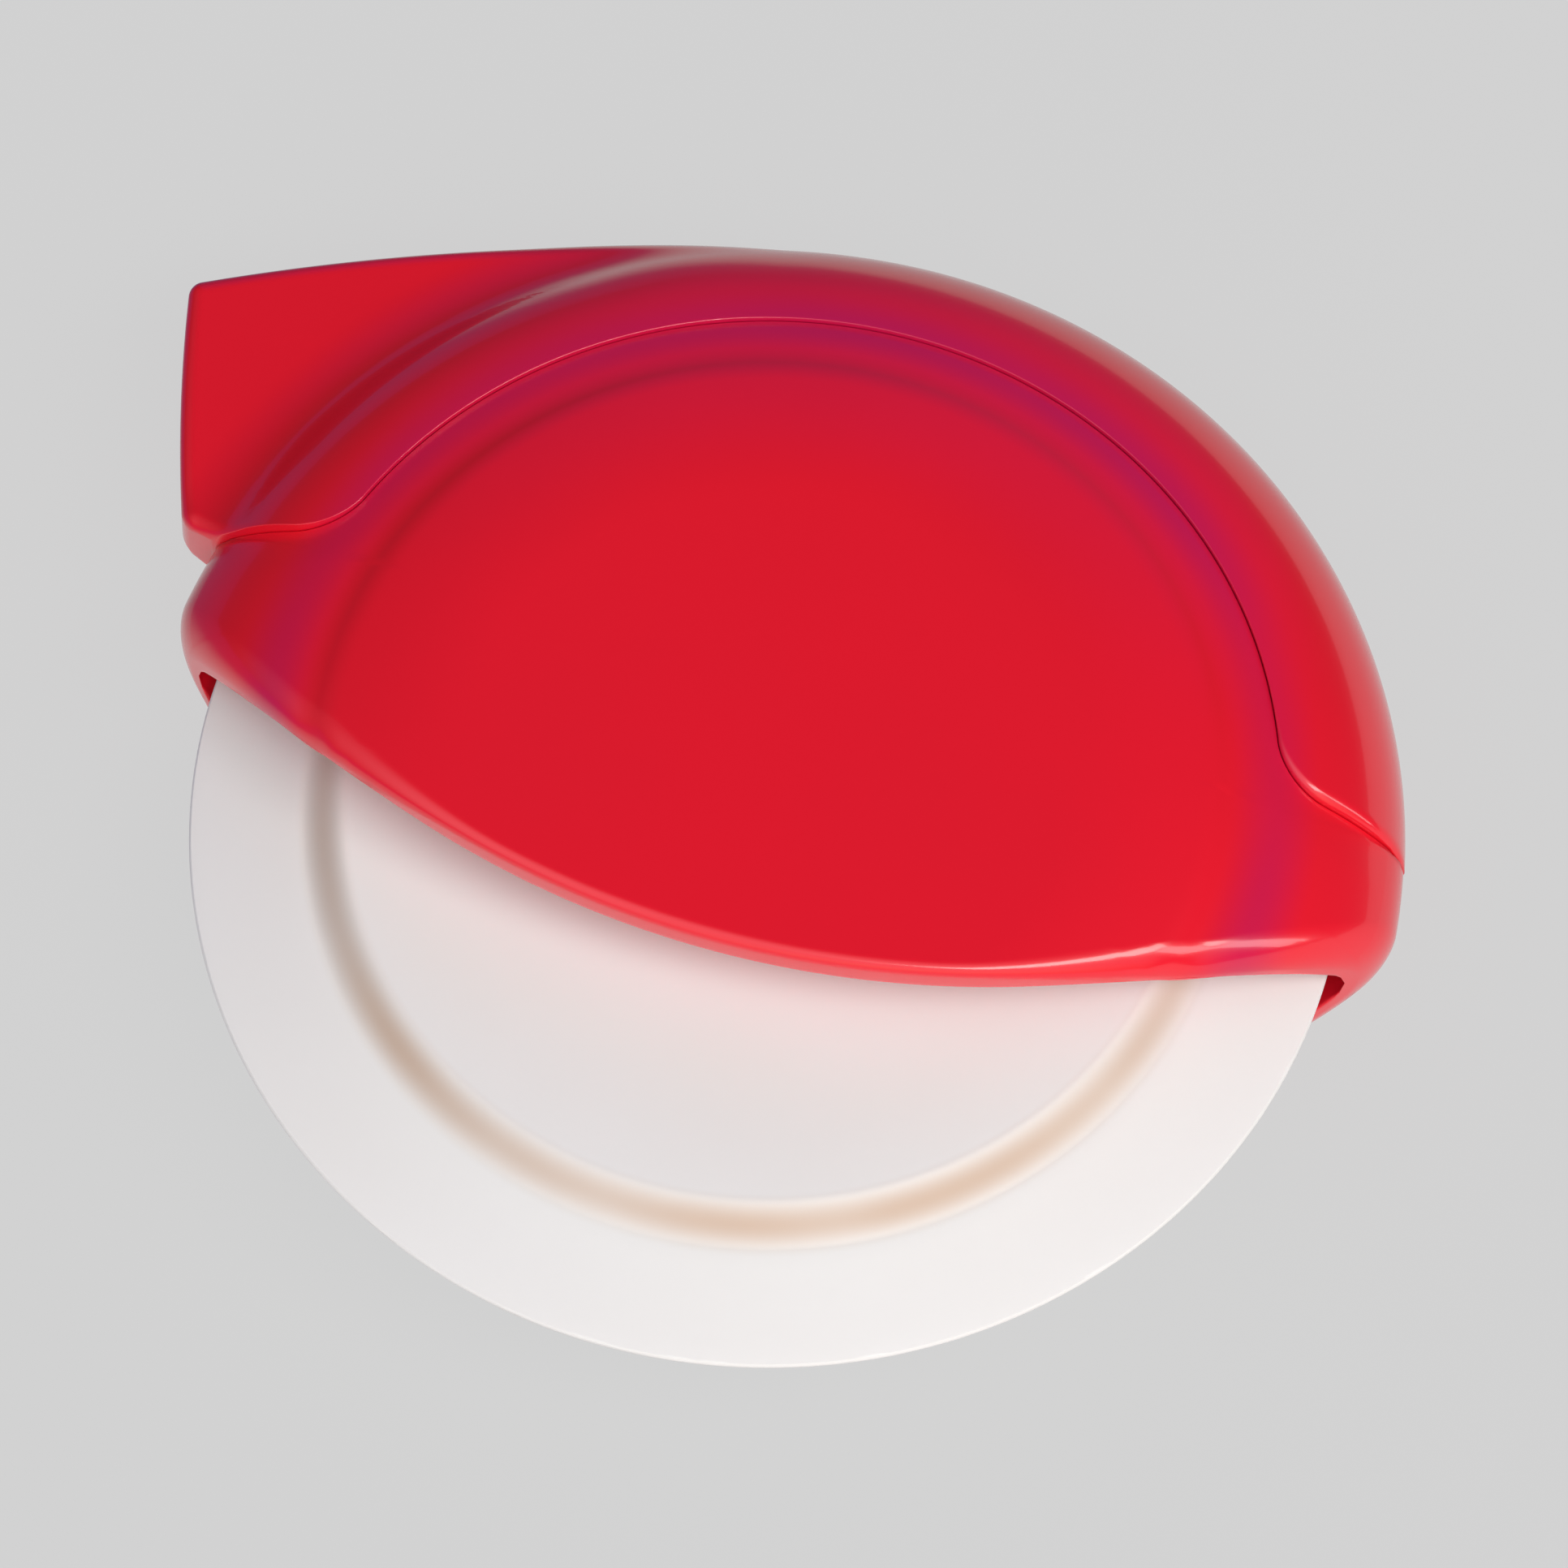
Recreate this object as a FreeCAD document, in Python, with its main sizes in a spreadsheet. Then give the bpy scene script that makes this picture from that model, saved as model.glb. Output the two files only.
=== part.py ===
"""Palm-held rolling cutter: a free-spinning plastic wheel under a two-shell hood with a clip-on saddle.

The tool lies on its back dome. +Z is the wheel's axis and points out of the front dome, +Y points to
the top of the hood and -Y to the bare half of the wheel. The origin is on the resting plane, below the
axle. Lengths are in millimetres.
"""
import FreeCAD, Part
import math
import os
import re

import Sketcher

DIMENSIONS = [
    # Heights called "height" are measured from the wheel's middle plane, outwards to either side.
    ("mid_height", 15.0, "middle plane of the wheel above the resting plane"),
    # Outer section of a shell, from the axis outwards.
    ("crown_height", 15.0, "flat of the dome"),
    ("crown_flat", 26.0, "radius of the flat"),
    ("crown_curve", 50.0, "easing of the dome beyond the flat"),
    ("shoulder_radius", 37.25, "where the dome turns down"),
    ("shoulder_height", 13.72, "same point"),
    ("flank_curve", 6.0, "rounding of the dome's edge and of the valley below it"),
    ("flank_radius", 39.08, "steepest point of the dome's edge"),
    ("flank_height", 12.96, "same point"),
    ("valley_radius", 41.0, "where the valley runs into the haunch"),
    ("valley_height", 12.18, "same point"),
    ("haunch_curve", 22.7, "broad rounding of the haunch"),
    ("haunch_radius", 53.3, "where the haunch turns into the rim"),
    ("haunch_height", 4.66, "same point"),
    ("rim_curve", 7.25, "tight rounding of the rim"),
    ("hood_radius", 55.0, "edge of the hood"),
    # Inner section of a shell.
    ("inner_height", 11.9, "flat ceiling of the cavity"),
    ("inner_flat", 30.0, "radius of the flat ceiling"),
    ("inner_curve", 27.15, "broad rounding of the cavity"),
    ("inner_radius", 50.8, "where the cavity turns into the rim"),
    ("inner_step", 2.2, "height of that point"),
    ("inner_rim_curve", 3.43, "rounding at the cavity's rim"),
    ("cavity_radius", 51.6, "edge of the cavity"),
    # Tongue and groove that line the two shells up.
    ("tongue_depth", 1.0, "reach of the front shell's tongue past the middle plane"),
    ("tongue_radius", 52.4, "outside of the tongue"),
    ("fit_gap", 0.1, "play of the tongue in its groove and of the saddle on its seat"),
    # Plan outline of the shells.
    ("lip_curve", 84.0, "plan radius of the lip"),
    ("lip_drop", 17.2, "lowest point of the lip below the axle"),
    ("nose_curve", 3.0, "plan rounding of the two noses"),
    # Seat of the saddle in the shells and the saddle's own section.
    ("seat_curve", 21.4, "haunch of the seat"),
    ("seat_inner_radius", 40.7, "start of the seat"),
    ("seat_inner_height", 10.93, "same point"),
    ("seat_radius", 52.3, "where the seat turns into the rim"),
    ("seat_height", 3.82, "same point"),
    ("seat_rim_curve", 5.95, "rounding of the seat's rim"),
    ("seat_edge", 53.7, "edge of the seat"),
    ("band_curve", 17.46, "haunch of the saddle"),
    ("band_start", 43.5, "start of the saddle's section"),
    ("band_start_height", 12.45, "same point"),
    ("band_radius", 52.65, "where the saddle's haunch turns into its rim"),
    ("band_height", 6.73, "same point"),
    ("band_rim_curve", 10.47, "rounding of the saddle's rim"),
    ("band_edge", 55.1, "edge of the saddle"),
    # Plan outline of the saddle.
    ("band_inner", 44.0, "inner edge of the saddle's cheeks"),
    ("band_end", 12.0, "both ends of the saddle, above the axle"),
    ("band_corner", 4.0, "rounding between the inner edge and an end"),
    ("joint_gap", 0.25, "open joint round the saddle"),
    # Tail fin of the saddle.
    ("tail_half", 3.1, "half of the fin's thickness"),
    ("tail_start", 10.6, "where the fin's back leaves the hood, left of the axle"),
    ("tail_back_curve", 195.0, "plan curve of the fin's back"),
    ("tail_reach", 63.2, "tip of the fin, left of the axle"),
    ("tail_tip", 35.6, "height of that tip above the axle"),
    ("tail_end_curve", 150.0, "slight bulge of the fin's end"),
    ("tail_heel", 56.9, "lower corner of the fin, left of the axle"),
    ("tail_heel_up", 12.9, "height of that corner above the axle"),
    ("tail_corner", 0.8, "rounding of the fin's corners"),
    ("tail_round", 0.9, "rounding of the fin's edges"),
    # Cutting wheel.
    ("wheel_radius", 50.0, "cutting edge"),
    ("edge_half", 0.35, "half of the thickness at the cutting edge"),
    ("foot_radius", 40.4, "where the bevel meets the step"),
    ("foot_half", 2.4, "half of the thickness there"),
    ("step_mid_radius", 38.4, "middle of the step"),
    ("step_mid_half", 3.7, "same point"),
    ("step_curve", 2.19, "rounding at the top and the foot of the step"),
    ("disc_radius", 36.4, "edge of the raised disc"),
    ("disc_half", 5.0, "half of the thickness of the disc"),
    ("web_half", 2.6, "inner face of the disc's front wall"),
    ("back_disc_radius", 35.2, "seat of the back disc"),
    ("back_disc_inset", 2.8, "inner face of the back disc"),
    ("hollow_radius", 33.4, "outside of the hollow in the disc"),
    ("hub_radius", 11.0, "hub between the hollow and the bush"),
    ("rib_thickness", 1.6, "ribs across the hollow"),
    ("rib_count", 6, "ribs across the hollow"),
    ("rib_bite", 0.2, "overlap of a rib with the front wall"),
    # Axle group.
    ("bush_radius", 8.0, "outside of the hub bush"),
    ("bush_half", 5.6, "half of its length"),
    ("bush_flange", 9.4, "flange of the bush"),
    ("bush_flange_half", 5.0, "inner face of the flange"),
    ("axle_radius", 4.0, "outside of the axle sleeve"),
    ("running_gap", 0.05, "play of the bush on the sleeve"),
    ("sleeve_bore", 2.1, "bore of the sleeve"),
    ("sleeve_half", 8.0, "half of its length"),
    ("washer_inner", 5.8, "inner face of a thrust washer"),
    ("washer_radius", 7.0, "outside of a thrust washer"),
    ("boss_radius", 7.5, "bosses that hold the sleeve"),
    ("boss_tip", 6.6, "end of a boss"),
    ("insert_radius", 3.0, "threaded insert"),
    ("insert_end", 12.2, "far end of the insert"),
    ("screw_radius", 1.95, "shank of the axle screw"),
    ("screw_end", 12.0, "tip of the axle screw"),
    ("screw_hole", 2.15, "clearance hole in the back boss"),
    ("counterbore_radius", 4.4, "counterbore behind the axle screw"),
    ("counterbore_end", 9.6, "floor of the counterbore"),
    ("spring_washer_radius", 3.9, "spring washer under the head"),
    ("spring_washer_end", 10.4, "its outer face"),
    ("screw_play", 0.15, "play of that washer on the shank"),
    ("head_radius", 3.7, "head of the axle screw"),
    ("head_end", 12.7, "top of the head"),
    ("drive_flats", 2.5, "hexagon socket, across flats"),
    ("drive_depth", 1.4, "depth of the socket"),
    ("cap_inner", 13.0, "inner face of the screw cap, which is flush with the dome"),
]

EXPRESSION_WORDS = {"sqrt", "abs"}
# Cutting tools reach past what they cut by this much.
BELOW, BEYOND = "0 - 1", "2 * mid_height + 1"
FRONT, BACK = 1, -1

doc = FreeCAD.newDocument("rolling_cutter")
sheet = doc.addObject("Spreadsheet::Sheet", "dims")
for row, (alias, number, note) in enumerate(DIMENSIONS, start=1):
    sheet.set(f"A{row}", note)
    sheet.set(f"B{row}", str(number))
    sheet.setAlias(f"B{row}", alias)
doc.recompute()


def on_sheet(text):
    """The same expression with every name looked up in the dimension sheet."""
    return re.sub(r"[a-z_]+", lambda word: word.group() if word.group() in EXPRESSION_WORDS
                  else "dims." + word.group(), text)


def size(text):
    """Number that an expression of dimension names stands for."""
    return float(sheet.evalExpression(on_sheet(text)))


def above(text, side=FRONT):
    """Height over the resting plane of a distance from the wheel's middle plane."""
    return f"mid_height {'+' if side == FRONT else '-'} ({text})"


# --------------------------------------------------------------------------------------------------
# Sketches
# --------------------------------------------------------------------------------------------------

def arc_between(start, end, radius):
    """Arc of a circle from start to end: a positive radius turns left, a negative one right."""
    chord = end - start
    reach = math.sqrt(radius ** 2 - (chord.Length / 2) ** 2)
    left = FreeCAD.Vector(-chord.y, chord.x, 0).normalize() * math.copysign(reach, radius)
    centre = (start + end) / 2 + left
    first, last = (start, end) if radius > 0 else (end, start)
    circle = Part.Circle(centre, FreeCAD.Vector(0, 0, 1), abs(radius))
    return Part.ArcOfCircle(circle, circle.parameter(first), circle.parameter(last))


def pin_coordinate(sketch, direction, edge, corner, text):
    """Fix one coordinate of a corner to an expression, or to the axis where it is zero."""
    if text == "0":
        axis = -2 if direction == "DistanceX" else -1
        sketch.addConstraint(Sketcher.Constraint("PointOnObject", edge, corner, axis))
        return
    index = sketch.addConstraint(Sketcher.Constraint(direction, -1, 1, edge, corner, size(text)))
    sketch.setExpression(f"Constraints[{index}]", on_sheet(text))


def draw(sketch, path):
    """Closed outline whose corners and radii are bound to the dimension sheet.

    Each step of the path is (x, y) where a line starts or (x, y, radius) where an arc starts. The
    radius is an expression too, and a leading "-" makes the arc turn right.
    """
    corners = [FreeCAD.Vector(size(step[0]), size(step[1]), 0) for step in path]
    starts, ends = [], []
    for number, step in enumerate(path):
        start, end = corners[number], corners[(number + 1) % len(path)]
        if len(step) == 2:
            edge = sketch.addGeometry(Part.LineSegment(start, end), False)
            starts.append((edge, 1))
            ends.append((edge, 2))
            continue
        turns_left = not step[2].startswith("-")
        radius = step[2].lstrip("-")
        edge = sketch.addGeometry(arc_between(start, end, size(step[2])), False)
        starts.append((edge, 1 if turns_left else 2))
        ends.append((edge, 2 if turns_left else 1))
        index = sketch.addConstraint(Sketcher.Constraint("Radius", edge, size(radius)))
        sketch.setExpression(f"Constraints[{index}]", on_sheet(radius))
    for number, step in enumerate(path):
        following = starts[(number + 1) % len(path)]
        sketch.addConstraint(Sketcher.Constraint("Coincident", *ends[number], *following))
        pin_coordinate(sketch, "DistanceX", *starts[number], step[0])
        pin_coordinate(sketch, "DistanceY", *starts[number], step[1])


def free_sketch(name, path, upright):
    """Sketch of its own in the YZ plane (upright, so that seams lie at the top) or the XY plane."""
    sketch = doc.addObject("Sketcher::SketchObject", name)
    if upright:
        sketch.Placement.Rotation = FreeCAD.Rotation(90, 0, 90)
    draw(sketch, path)
    return sketch


def plane_of(body, role):
    """One of the body's own origin planes."""
    return next(item for item in body.Origin.OriginFeatures if item.Role == role)


def body_sketch(body, name, plane, path):
    """Sketch inside a body, attached flat to one of its origin planes."""
    sketch = body.newObject("Sketcher::SketchObject", name)
    sketch.AttachmentSupport = [(plane_of(body, plane), "")]
    sketch.MapMode = "FlatFace"
    draw(sketch, path)
    return sketch


# --------------------------------------------------------------------------------------------------
# Solids
# --------------------------------------------------------------------------------------------------

def turned(name, path):
    """Free solid of revolution about the wheel's axis."""
    solid = doc.addObject("Part::Revolution", name)
    solid.Source = free_sketch(name + "_section", path, upright=True)
    solid.Axis = FreeCAD.Vector(0, 0, 1)
    solid.Angle = 360
    solid.Solid = True
    return solid


def raised(name, path, bottom, top):
    """Free prism on a plan outline between two heights."""
    solid = doc.addObject("Part::Extrusion", name)
    solid.Base = free_sketch(name + "_plan", path, upright=False)
    solid.DirMode = "Custom"
    solid.Dir = FreeCAD.Vector(0, 0, 1)
    solid.Solid = True
    solid.setExpression("LengthFwd", on_sheet(top))
    solid.setExpression("LengthRev", on_sheet(f"0 - ({bottom})"))
    return solid


def drum(name, radius, bottom, top):
    """Free upright cylinder on the wheel's axis."""
    solid = doc.addObject("Part::Cylinder", name)
    solid.setExpression("Radius", on_sheet(radius))
    solid.setExpression("Height", on_sheet(f"({top}) - ({bottom})"))
    solid.setExpression("Placement.Base.z", on_sheet(bottom))
    return solid


def combine(kind, name, base, tool):
    """Cut, common part or union of two solids."""
    solid = doc.addObject(f"Part::{kind}", name)
    solid.Base, solid.Tool = base, tool
    return solid


def rounded(name, base, radius, wanted):
    """The base with every edge that the test picks out rounded."""
    doc.recompute()
    number = size(radius)
    picked = [index for index, edge in enumerate(base.Shape.Edges, start=1) if wanted(edge)]
    solid = doc.addObject("Part::Fillet", name)
    solid.Base = base
    solid.Edges = [(index, number, number) for index in picked]
    return solid


def turned_body(name, path):
    """Sub-part turned about the wheel's axis."""
    body = doc.addObject("PartDesign::Body", name)
    section = body_sketch(body, name + "_section", "XZ_Plane", path)
    turn = body.newObject("PartDesign::Revolution", name + "_turn")
    turn.Profile = section
    turn.ReferenceAxis = (section, ["V_Axis"])
    turn.Angle = 360
    return body


def ring_path(inner, outer, low, high):
    """Rectangle of a ring's section."""
    return [(inner, low), (outer, low), (outer, high), (inner, high)]


# --------------------------------------------------------------------------------------------------
# Hood: two shells
# --------------------------------------------------------------------------------------------------

def sided(side, path):
    """The path with its heights taken to one side of the middle plane; the back mirrors the arcs."""
    steps = []
    for step in path:
        turned_step = [step[0], above(step[1], side)]
        if len(step) == 3:
            turned_step.append(step[2] if side == FRONT else flipped(step[2]))
        steps.append(tuple(turned_step))
    return steps


def flipped(radius):
    """The same radius turning the other way."""
    return radius[1:] if radius.startswith("-") else "-" + radius


def shell_section():
    """Outer section of a shell, up the rim and in over the dome."""
    return [
        ("0", "0"),
        ("hood_radius", "0", "rim_curve"),
        ("haunch_radius", "haunch_height", "haunch_curve"),
        ("valley_radius", "valley_height", "-flank_curve"),
        ("flank_radius", "flank_height", "flank_curve"),
        ("shoulder_radius", "shoulder_height", "crown_curve"),
        ("crown_flat", "crown_height"),
        ("0", "crown_height"),
    ]


def cavity_section():
    """Hollow of a shell."""
    return [
        ("0", "0"),
        ("cavity_radius", "0", "inner_rim_curve"),
        ("inner_radius", "inner_step", "inner_curve"),
        ("inner_flat", "inner_height"),
        ("0", "inner_height"),
    ]


def seat_section(grow):
    """Solid inside the saddle's seat, on both sides of the middle plane."""
    edge = f"seat_edge + {grow}"
    upper = [
        (edge, "mid_height", f"seat_rim_curve + {grow}"),
        ("seat_radius", above(f"seat_height + {grow}"), "seat_curve"),
        ("seat_inner_radius", above(f"seat_inner_height + {grow}")),
        ("0", above(f"seat_inner_height + {grow}")),
    ]
    lower = [
        ("0", above(f"seat_inner_height + {grow}", BACK)),
        ("seat_inner_radius", above(f"seat_inner_height + {grow}", BACK), "seat_curve"),
        ("seat_radius", above(f"seat_height + {grow}", BACK), f"seat_rim_curve + {grow}"),
    ]
    return lower + upper


LIP_CENTRE = "(lip_curve - lip_drop)"
NOSE_Y = (f"(((hood_radius - nose_curve) ^ 2 - (lip_curve - nose_curve) ^ 2 + {LIP_CENTRE} ^ 2)"
          f" / (2 * {LIP_CENTRE}))")
NOSE_X = f"sqrt((hood_radius - nose_curve) ^ 2 - {NOSE_Y} ^ 2)"
NOSE_OUT = "(hood_radius / (hood_radius - nose_curve))"
NOSE_LIP = "(lip_curve / (lip_curve - nose_curve))"


def shell_plan():
    """Plan of the hood: round noses, the sagging lip between them, open above the rim."""
    rim_x, rim_y = f"{NOSE_X} * {NOSE_OUT}", f"{NOSE_Y} * {NOSE_OUT}"
    lip_x = f"{NOSE_X} * {NOSE_LIP}"
    lip_y = f"{LIP_CENTRE} - ({LIP_CENTRE} - {NOSE_Y}) * {NOSE_LIP}"
    top_x, top_y = "hood_radius - 4", "hood_radius + 6"
    return [
        (f"0 - {rim_x}", rim_y, "nose_curve"),
        (f"0 - {lip_x}", lip_y, "lip_curve"),
        (lip_x, lip_y, "nose_curve"),
        (rim_x, rim_y),
        (top_x, top_y),
        (f"0 - ({top_x})", top_y),
    ]


def band_plan(grow):
    """Plan of the saddle's cheeks, grown by a margin for the recess in the shells."""
    inner, end = f"(band_inner - {grow})", f"(band_end - {grow})"
    centre_y = f"({end} + band_corner)"
    centre_x = f"sqrt(({inner} + band_corner) ^ 2 - {centre_y} ^ 2)"
    share = f"({inner} / ({inner} + band_corner))"
    out_x = "hood_radius + 1"
    top = "hood_radius + 3"
    return [
        (centre_x, end),
        (out_x, end),
        (out_x, top),
        (f"0 - ({out_x})", top),
        (f"0 - ({out_x})", end),
        (f"0 - {centre_x}", end, "band_corner"),
        (f"0 - {centre_x} * {share}", f"{centre_y} * {share}", f"-{inner}"),
        (f"{centre_x} * {share}", f"{centre_y} * {share}", "band_corner"),
    ]


def make_shell(name, side):
    """One half of the hood, hollow, with its boss, trimmed to the plan and let in for the saddle."""
    blank = turned(f"{name}_blank", sided(side, shell_section()))
    cavity = turned(f"{name}_cavity", sided(side, cavity_section()))
    wall = combine("Cut", f"{name}_wall", blank, cavity)
    boss_ends = (above("boss_tip", side), above("inner_height + 0.5", side))
    low, high = boss_ends if side == FRONT else reversed(boss_ends)
    boss = drum(f"{name}_boss", "boss_radius", low, high)
    body = combine("Fuse", f"{name}_with_boss", wall, boss)
    if side == FRONT:
        ring = ring_path("cavity_radius", "tongue_radius", above("tongue_depth", BACK), above("0.5"))
        tongue = turned(f"{name}_tongue", ring)
        body = combine("Fuse", f"{name}_with_tongue", body, tongue)
    else:
        groove_ring = ring_path("cavity_radius - 1", "tongue_radius + fit_gap",
                                above("tongue_depth + fit_gap", BACK), "mid_height + 1")
        groove = turned(f"{name}_groove", groove_ring)
        body = combine("Cut", f"{name}_grooved", body, groove)
    outline = raised(f"{name}_outline", shell_plan(), BELOW, BEYOND)
    trimmed = combine("Common", f"{name}_trimmed", body, outline)
    cheeks = raised(f"{name}_cheeks", band_plan("joint_gap"), BELOW, BEYOND)
    core = turned(f"{name}_core", seat_section("0"))
    recess = combine("Cut", f"{name}_recess", cheeks, core)
    return combine("Cut", f"{name}_seated", trimmed, recess)


def bore_out(name, base, sections):
    """Base with a chain of turned pockets on the axis cut away."""
    for number, (radius, low, high) in enumerate(sections, start=1):
        tool = drum(f"{name}_pocket_{number}", radius, low, high)
        base = combine("Cut", f"{name}_bored_{number}", base, tool)
    return base


def make_front_shell():
    """Front shell: sleeve socket and insert pocket in the boss."""
    shell = make_shell("front", FRONT)
    return bore_out("front", shell, [
        ("axle_radius", above("boss_tip - 1"), above("sleeve_half")),
        ("insert_radius", above("sleeve_half - 1"), above("insert_end")),
    ])


def make_back_shell():
    """Back shell: sleeve socket, screw hole and counterbore."""
    shell = make_shell("back", BACK)
    return bore_out("back", shell, [
        ("axle_radius", above("sleeve_half", BACK), above("boss_tip - 1", BACK)),
        ("screw_hole", above("counterbore_end + 1", BACK), above("sleeve_half - 1", BACK)),
        ("counterbore_radius", BELOW, above("counterbore_end", BACK)),
    ])


# --------------------------------------------------------------------------------------------------
# Saddle with its tail fin
# --------------------------------------------------------------------------------------------------

def band_section():
    """Outer section of the saddle, both cheeks round the rim."""
    return [
        ("band_start", above("band_start_height", BACK), "band_curve"),
        ("band_radius", above("band_height", BACK), "band_rim_curve"),
        ("band_edge", "mid_height", "band_rim_curve"),
        ("band_radius", above("band_height"), "band_curve"),
        ("band_start", above("band_start_height")),
    ]


def tail_plan():
    """Plan of the fin, reaching into the hood's rim."""
    start_y = "sqrt(hood_radius ^ 2 - tail_start ^ 2)"
    return [
        ("0 - tail_start", start_y, "tail_back_curve"),
        ("0 - tail_reach", "tail_tip", "tail_end_curve"),
        ("0 - tail_heel", "tail_heel_up"),
        ("0 - (hood_radius - 1)", "band_end"),
        ("0 - (seat_edge - 6)", "band_end"),
        ("0 - tail_start", f"{start_y} - 5"),
    ]


def make_saddle():
    """U-shaped band over both rims, with the flat fin at its left."""
    section = turned("saddle_band", band_section())
    cheeks = raised("saddle_cheeks", band_plan("0"), BELOW, BEYOND)
    band = combine("Common", "saddle_trimmed", section, cheeks)
    tail = raised("saddle_tail", tail_plan(), above("tail_half", BACK), above("tail_half"))
    corners = rounded("saddle_tail_corners", tail, "tail_corner", is_tail_corner)
    soft_tail = rounded("saddle_tail_soft", corners, "tail_round", is_tail_rim)
    whole = combine("Fuse", "saddle_with_tail", band, soft_tail)
    core = turned("saddle_core", seat_section("fit_gap / 2"))
    return combine("Cut", "saddle_hollow", whole, core)


def is_tail_corner(edge):
    """Upright edges at the free corners of the fin."""
    point = edge.CenterOfMass
    upright = abs(edge.tangentAt(edge.FirstParameter).z) > 0.9
    return upright and point.x < -size("hood_radius") - 1


def is_tail_rim(edge):
    """Edges round the top and bottom faces of the fin, outside the hood."""
    point = edge.CenterOfMass
    level = abs(edge.tangentAt(edge.FirstParameter).z) < 0.1
    return level and math.hypot(point.x, point.y) > size("hood_radius") + 0.5


# --------------------------------------------------------------------------------------------------
# Wheel
# --------------------------------------------------------------------------------------------------

def make_cutting_wheel():
    """Wheel moulding: bevelled rim, soft step, front wall, hub and ribs; open at the back."""
    front_bevel = [
        ("wheel_radius", above("edge_half")),
        ("foot_radius", above("foot_half"), "-step_curve"),
        ("step_mid_radius", above("step_mid_half"), "step_curve"),
        ("disc_radius", above("disc_half")),
        ("bush_radius", above("disc_half")),
    ]
    back_hollow = [
        ("bush_radius", above("back_disc_inset", BACK)),
        ("hub_radius", above("back_disc_inset", BACK)),
        ("hub_radius", above("web_half")),
        ("hollow_radius", above("web_half")),
        ("hollow_radius", above("back_disc_inset", BACK)),
        ("back_disc_radius", above("back_disc_inset", BACK)),
        ("back_disc_radius", above("disc_half", BACK)),
    ]
    back_bevel = [
        ("disc_radius", above("disc_half", BACK), "step_curve"),
        ("step_mid_radius", above("step_mid_half", BACK), "-step_curve"),
        ("foot_radius", above("foot_half", BACK)),
        ("wheel_radius", above("edge_half", BACK)),
    ]
    body = turned_body("cutting_wheel", front_bevel + back_hollow + back_bevel)
    doc.recompute()
    half = "rib_thickness / 2"
    plan = [("hub_radius - 1", f"0 - {half}"), ("hollow_radius + 1", f"0 - {half}"),
            ("hollow_radius + 1", half), ("hub_radius - 1", half)]
    sketch = body_sketch(body, "rib_plan", "XY_Plane", plan)
    sketch.setExpression("AttachmentOffset.Base.z", on_sheet(above("back_disc_inset", BACK)))
    rib = body.newObject("PartDesign::Pad", "rib")
    rib.Profile = sketch
    rib.setExpression("Length", on_sheet("back_disc_inset + web_half + rib_bite"))
    doc.recompute()
    ribs = body.newObject("PartDesign::PolarPattern", "ribs")
    ribs.Originals = [rib]
    ribs.Axis = (sketch, ["N_Axis"])
    ribs.Angle = 360
    ribs.setExpression("Occurrences", on_sheet("rib_count"))
    body.Tip = ribs
    return body


def make_hub_bush():
    """Flanged bearing bush, pressed in from the front."""
    bore = "axle_radius + running_gap"
    return turned_body("hub_bush", [
        (bore, above("bush_half", BACK)),
        ("bush_radius", above("bush_half", BACK)),
        ("bush_radius", above("bush_flange_half")),
        ("bush_flange", above("bush_flange_half")),
        ("bush_flange", above("bush_half")),
        (bore, above("bush_half")),
    ])


# --------------------------------------------------------------------------------------------------
# Axle group
# --------------------------------------------------------------------------------------------------

def make_axle_screw():
    """Screw from the back: head, shank and a hexagon socket."""
    body = turned_body("axle_screw", [
        ("0", above("head_end", BACK)),
        ("head_radius", above("head_end", BACK)),
        ("head_radius", above("spring_washer_end", BACK)),
        ("screw_radius", above("spring_washer_end", BACK)),
        ("screw_radius", above("screw_end")),
        ("0", above("screw_end")),
    ])
    doc.recompute()
    before = body.Shape.Volume
    reach, half = "drive_flats / sqrt(3)", "drive_flats / 2"
    hexagon = [
        (reach, "0"), (f"{reach} / 2", half), (f"0 - {reach} / 2", half),
        (f"0 - {reach}", "0"), (f"0 - {reach} / 2", f"0 - {half}"), (f"{reach} / 2", f"0 - {half}"),
    ]
    sketch = body_sketch(body, "drive_plan", "XY_Plane", hexagon)
    sketch.setExpression("AttachmentOffset.Base.z", on_sheet(above("head_end", BACK)))
    socket = body.newObject("PartDesign::Pocket", "drive_socket")
    socket.Profile = sketch
    socket.Reversed = True
    socket.setExpression("Length", on_sheet("drive_depth"))
    doc.recompute()
    if body.Shape.Volume > before - 1:
        raise RuntimeError("the hexagon socket cuts nothing")
    return body


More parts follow.
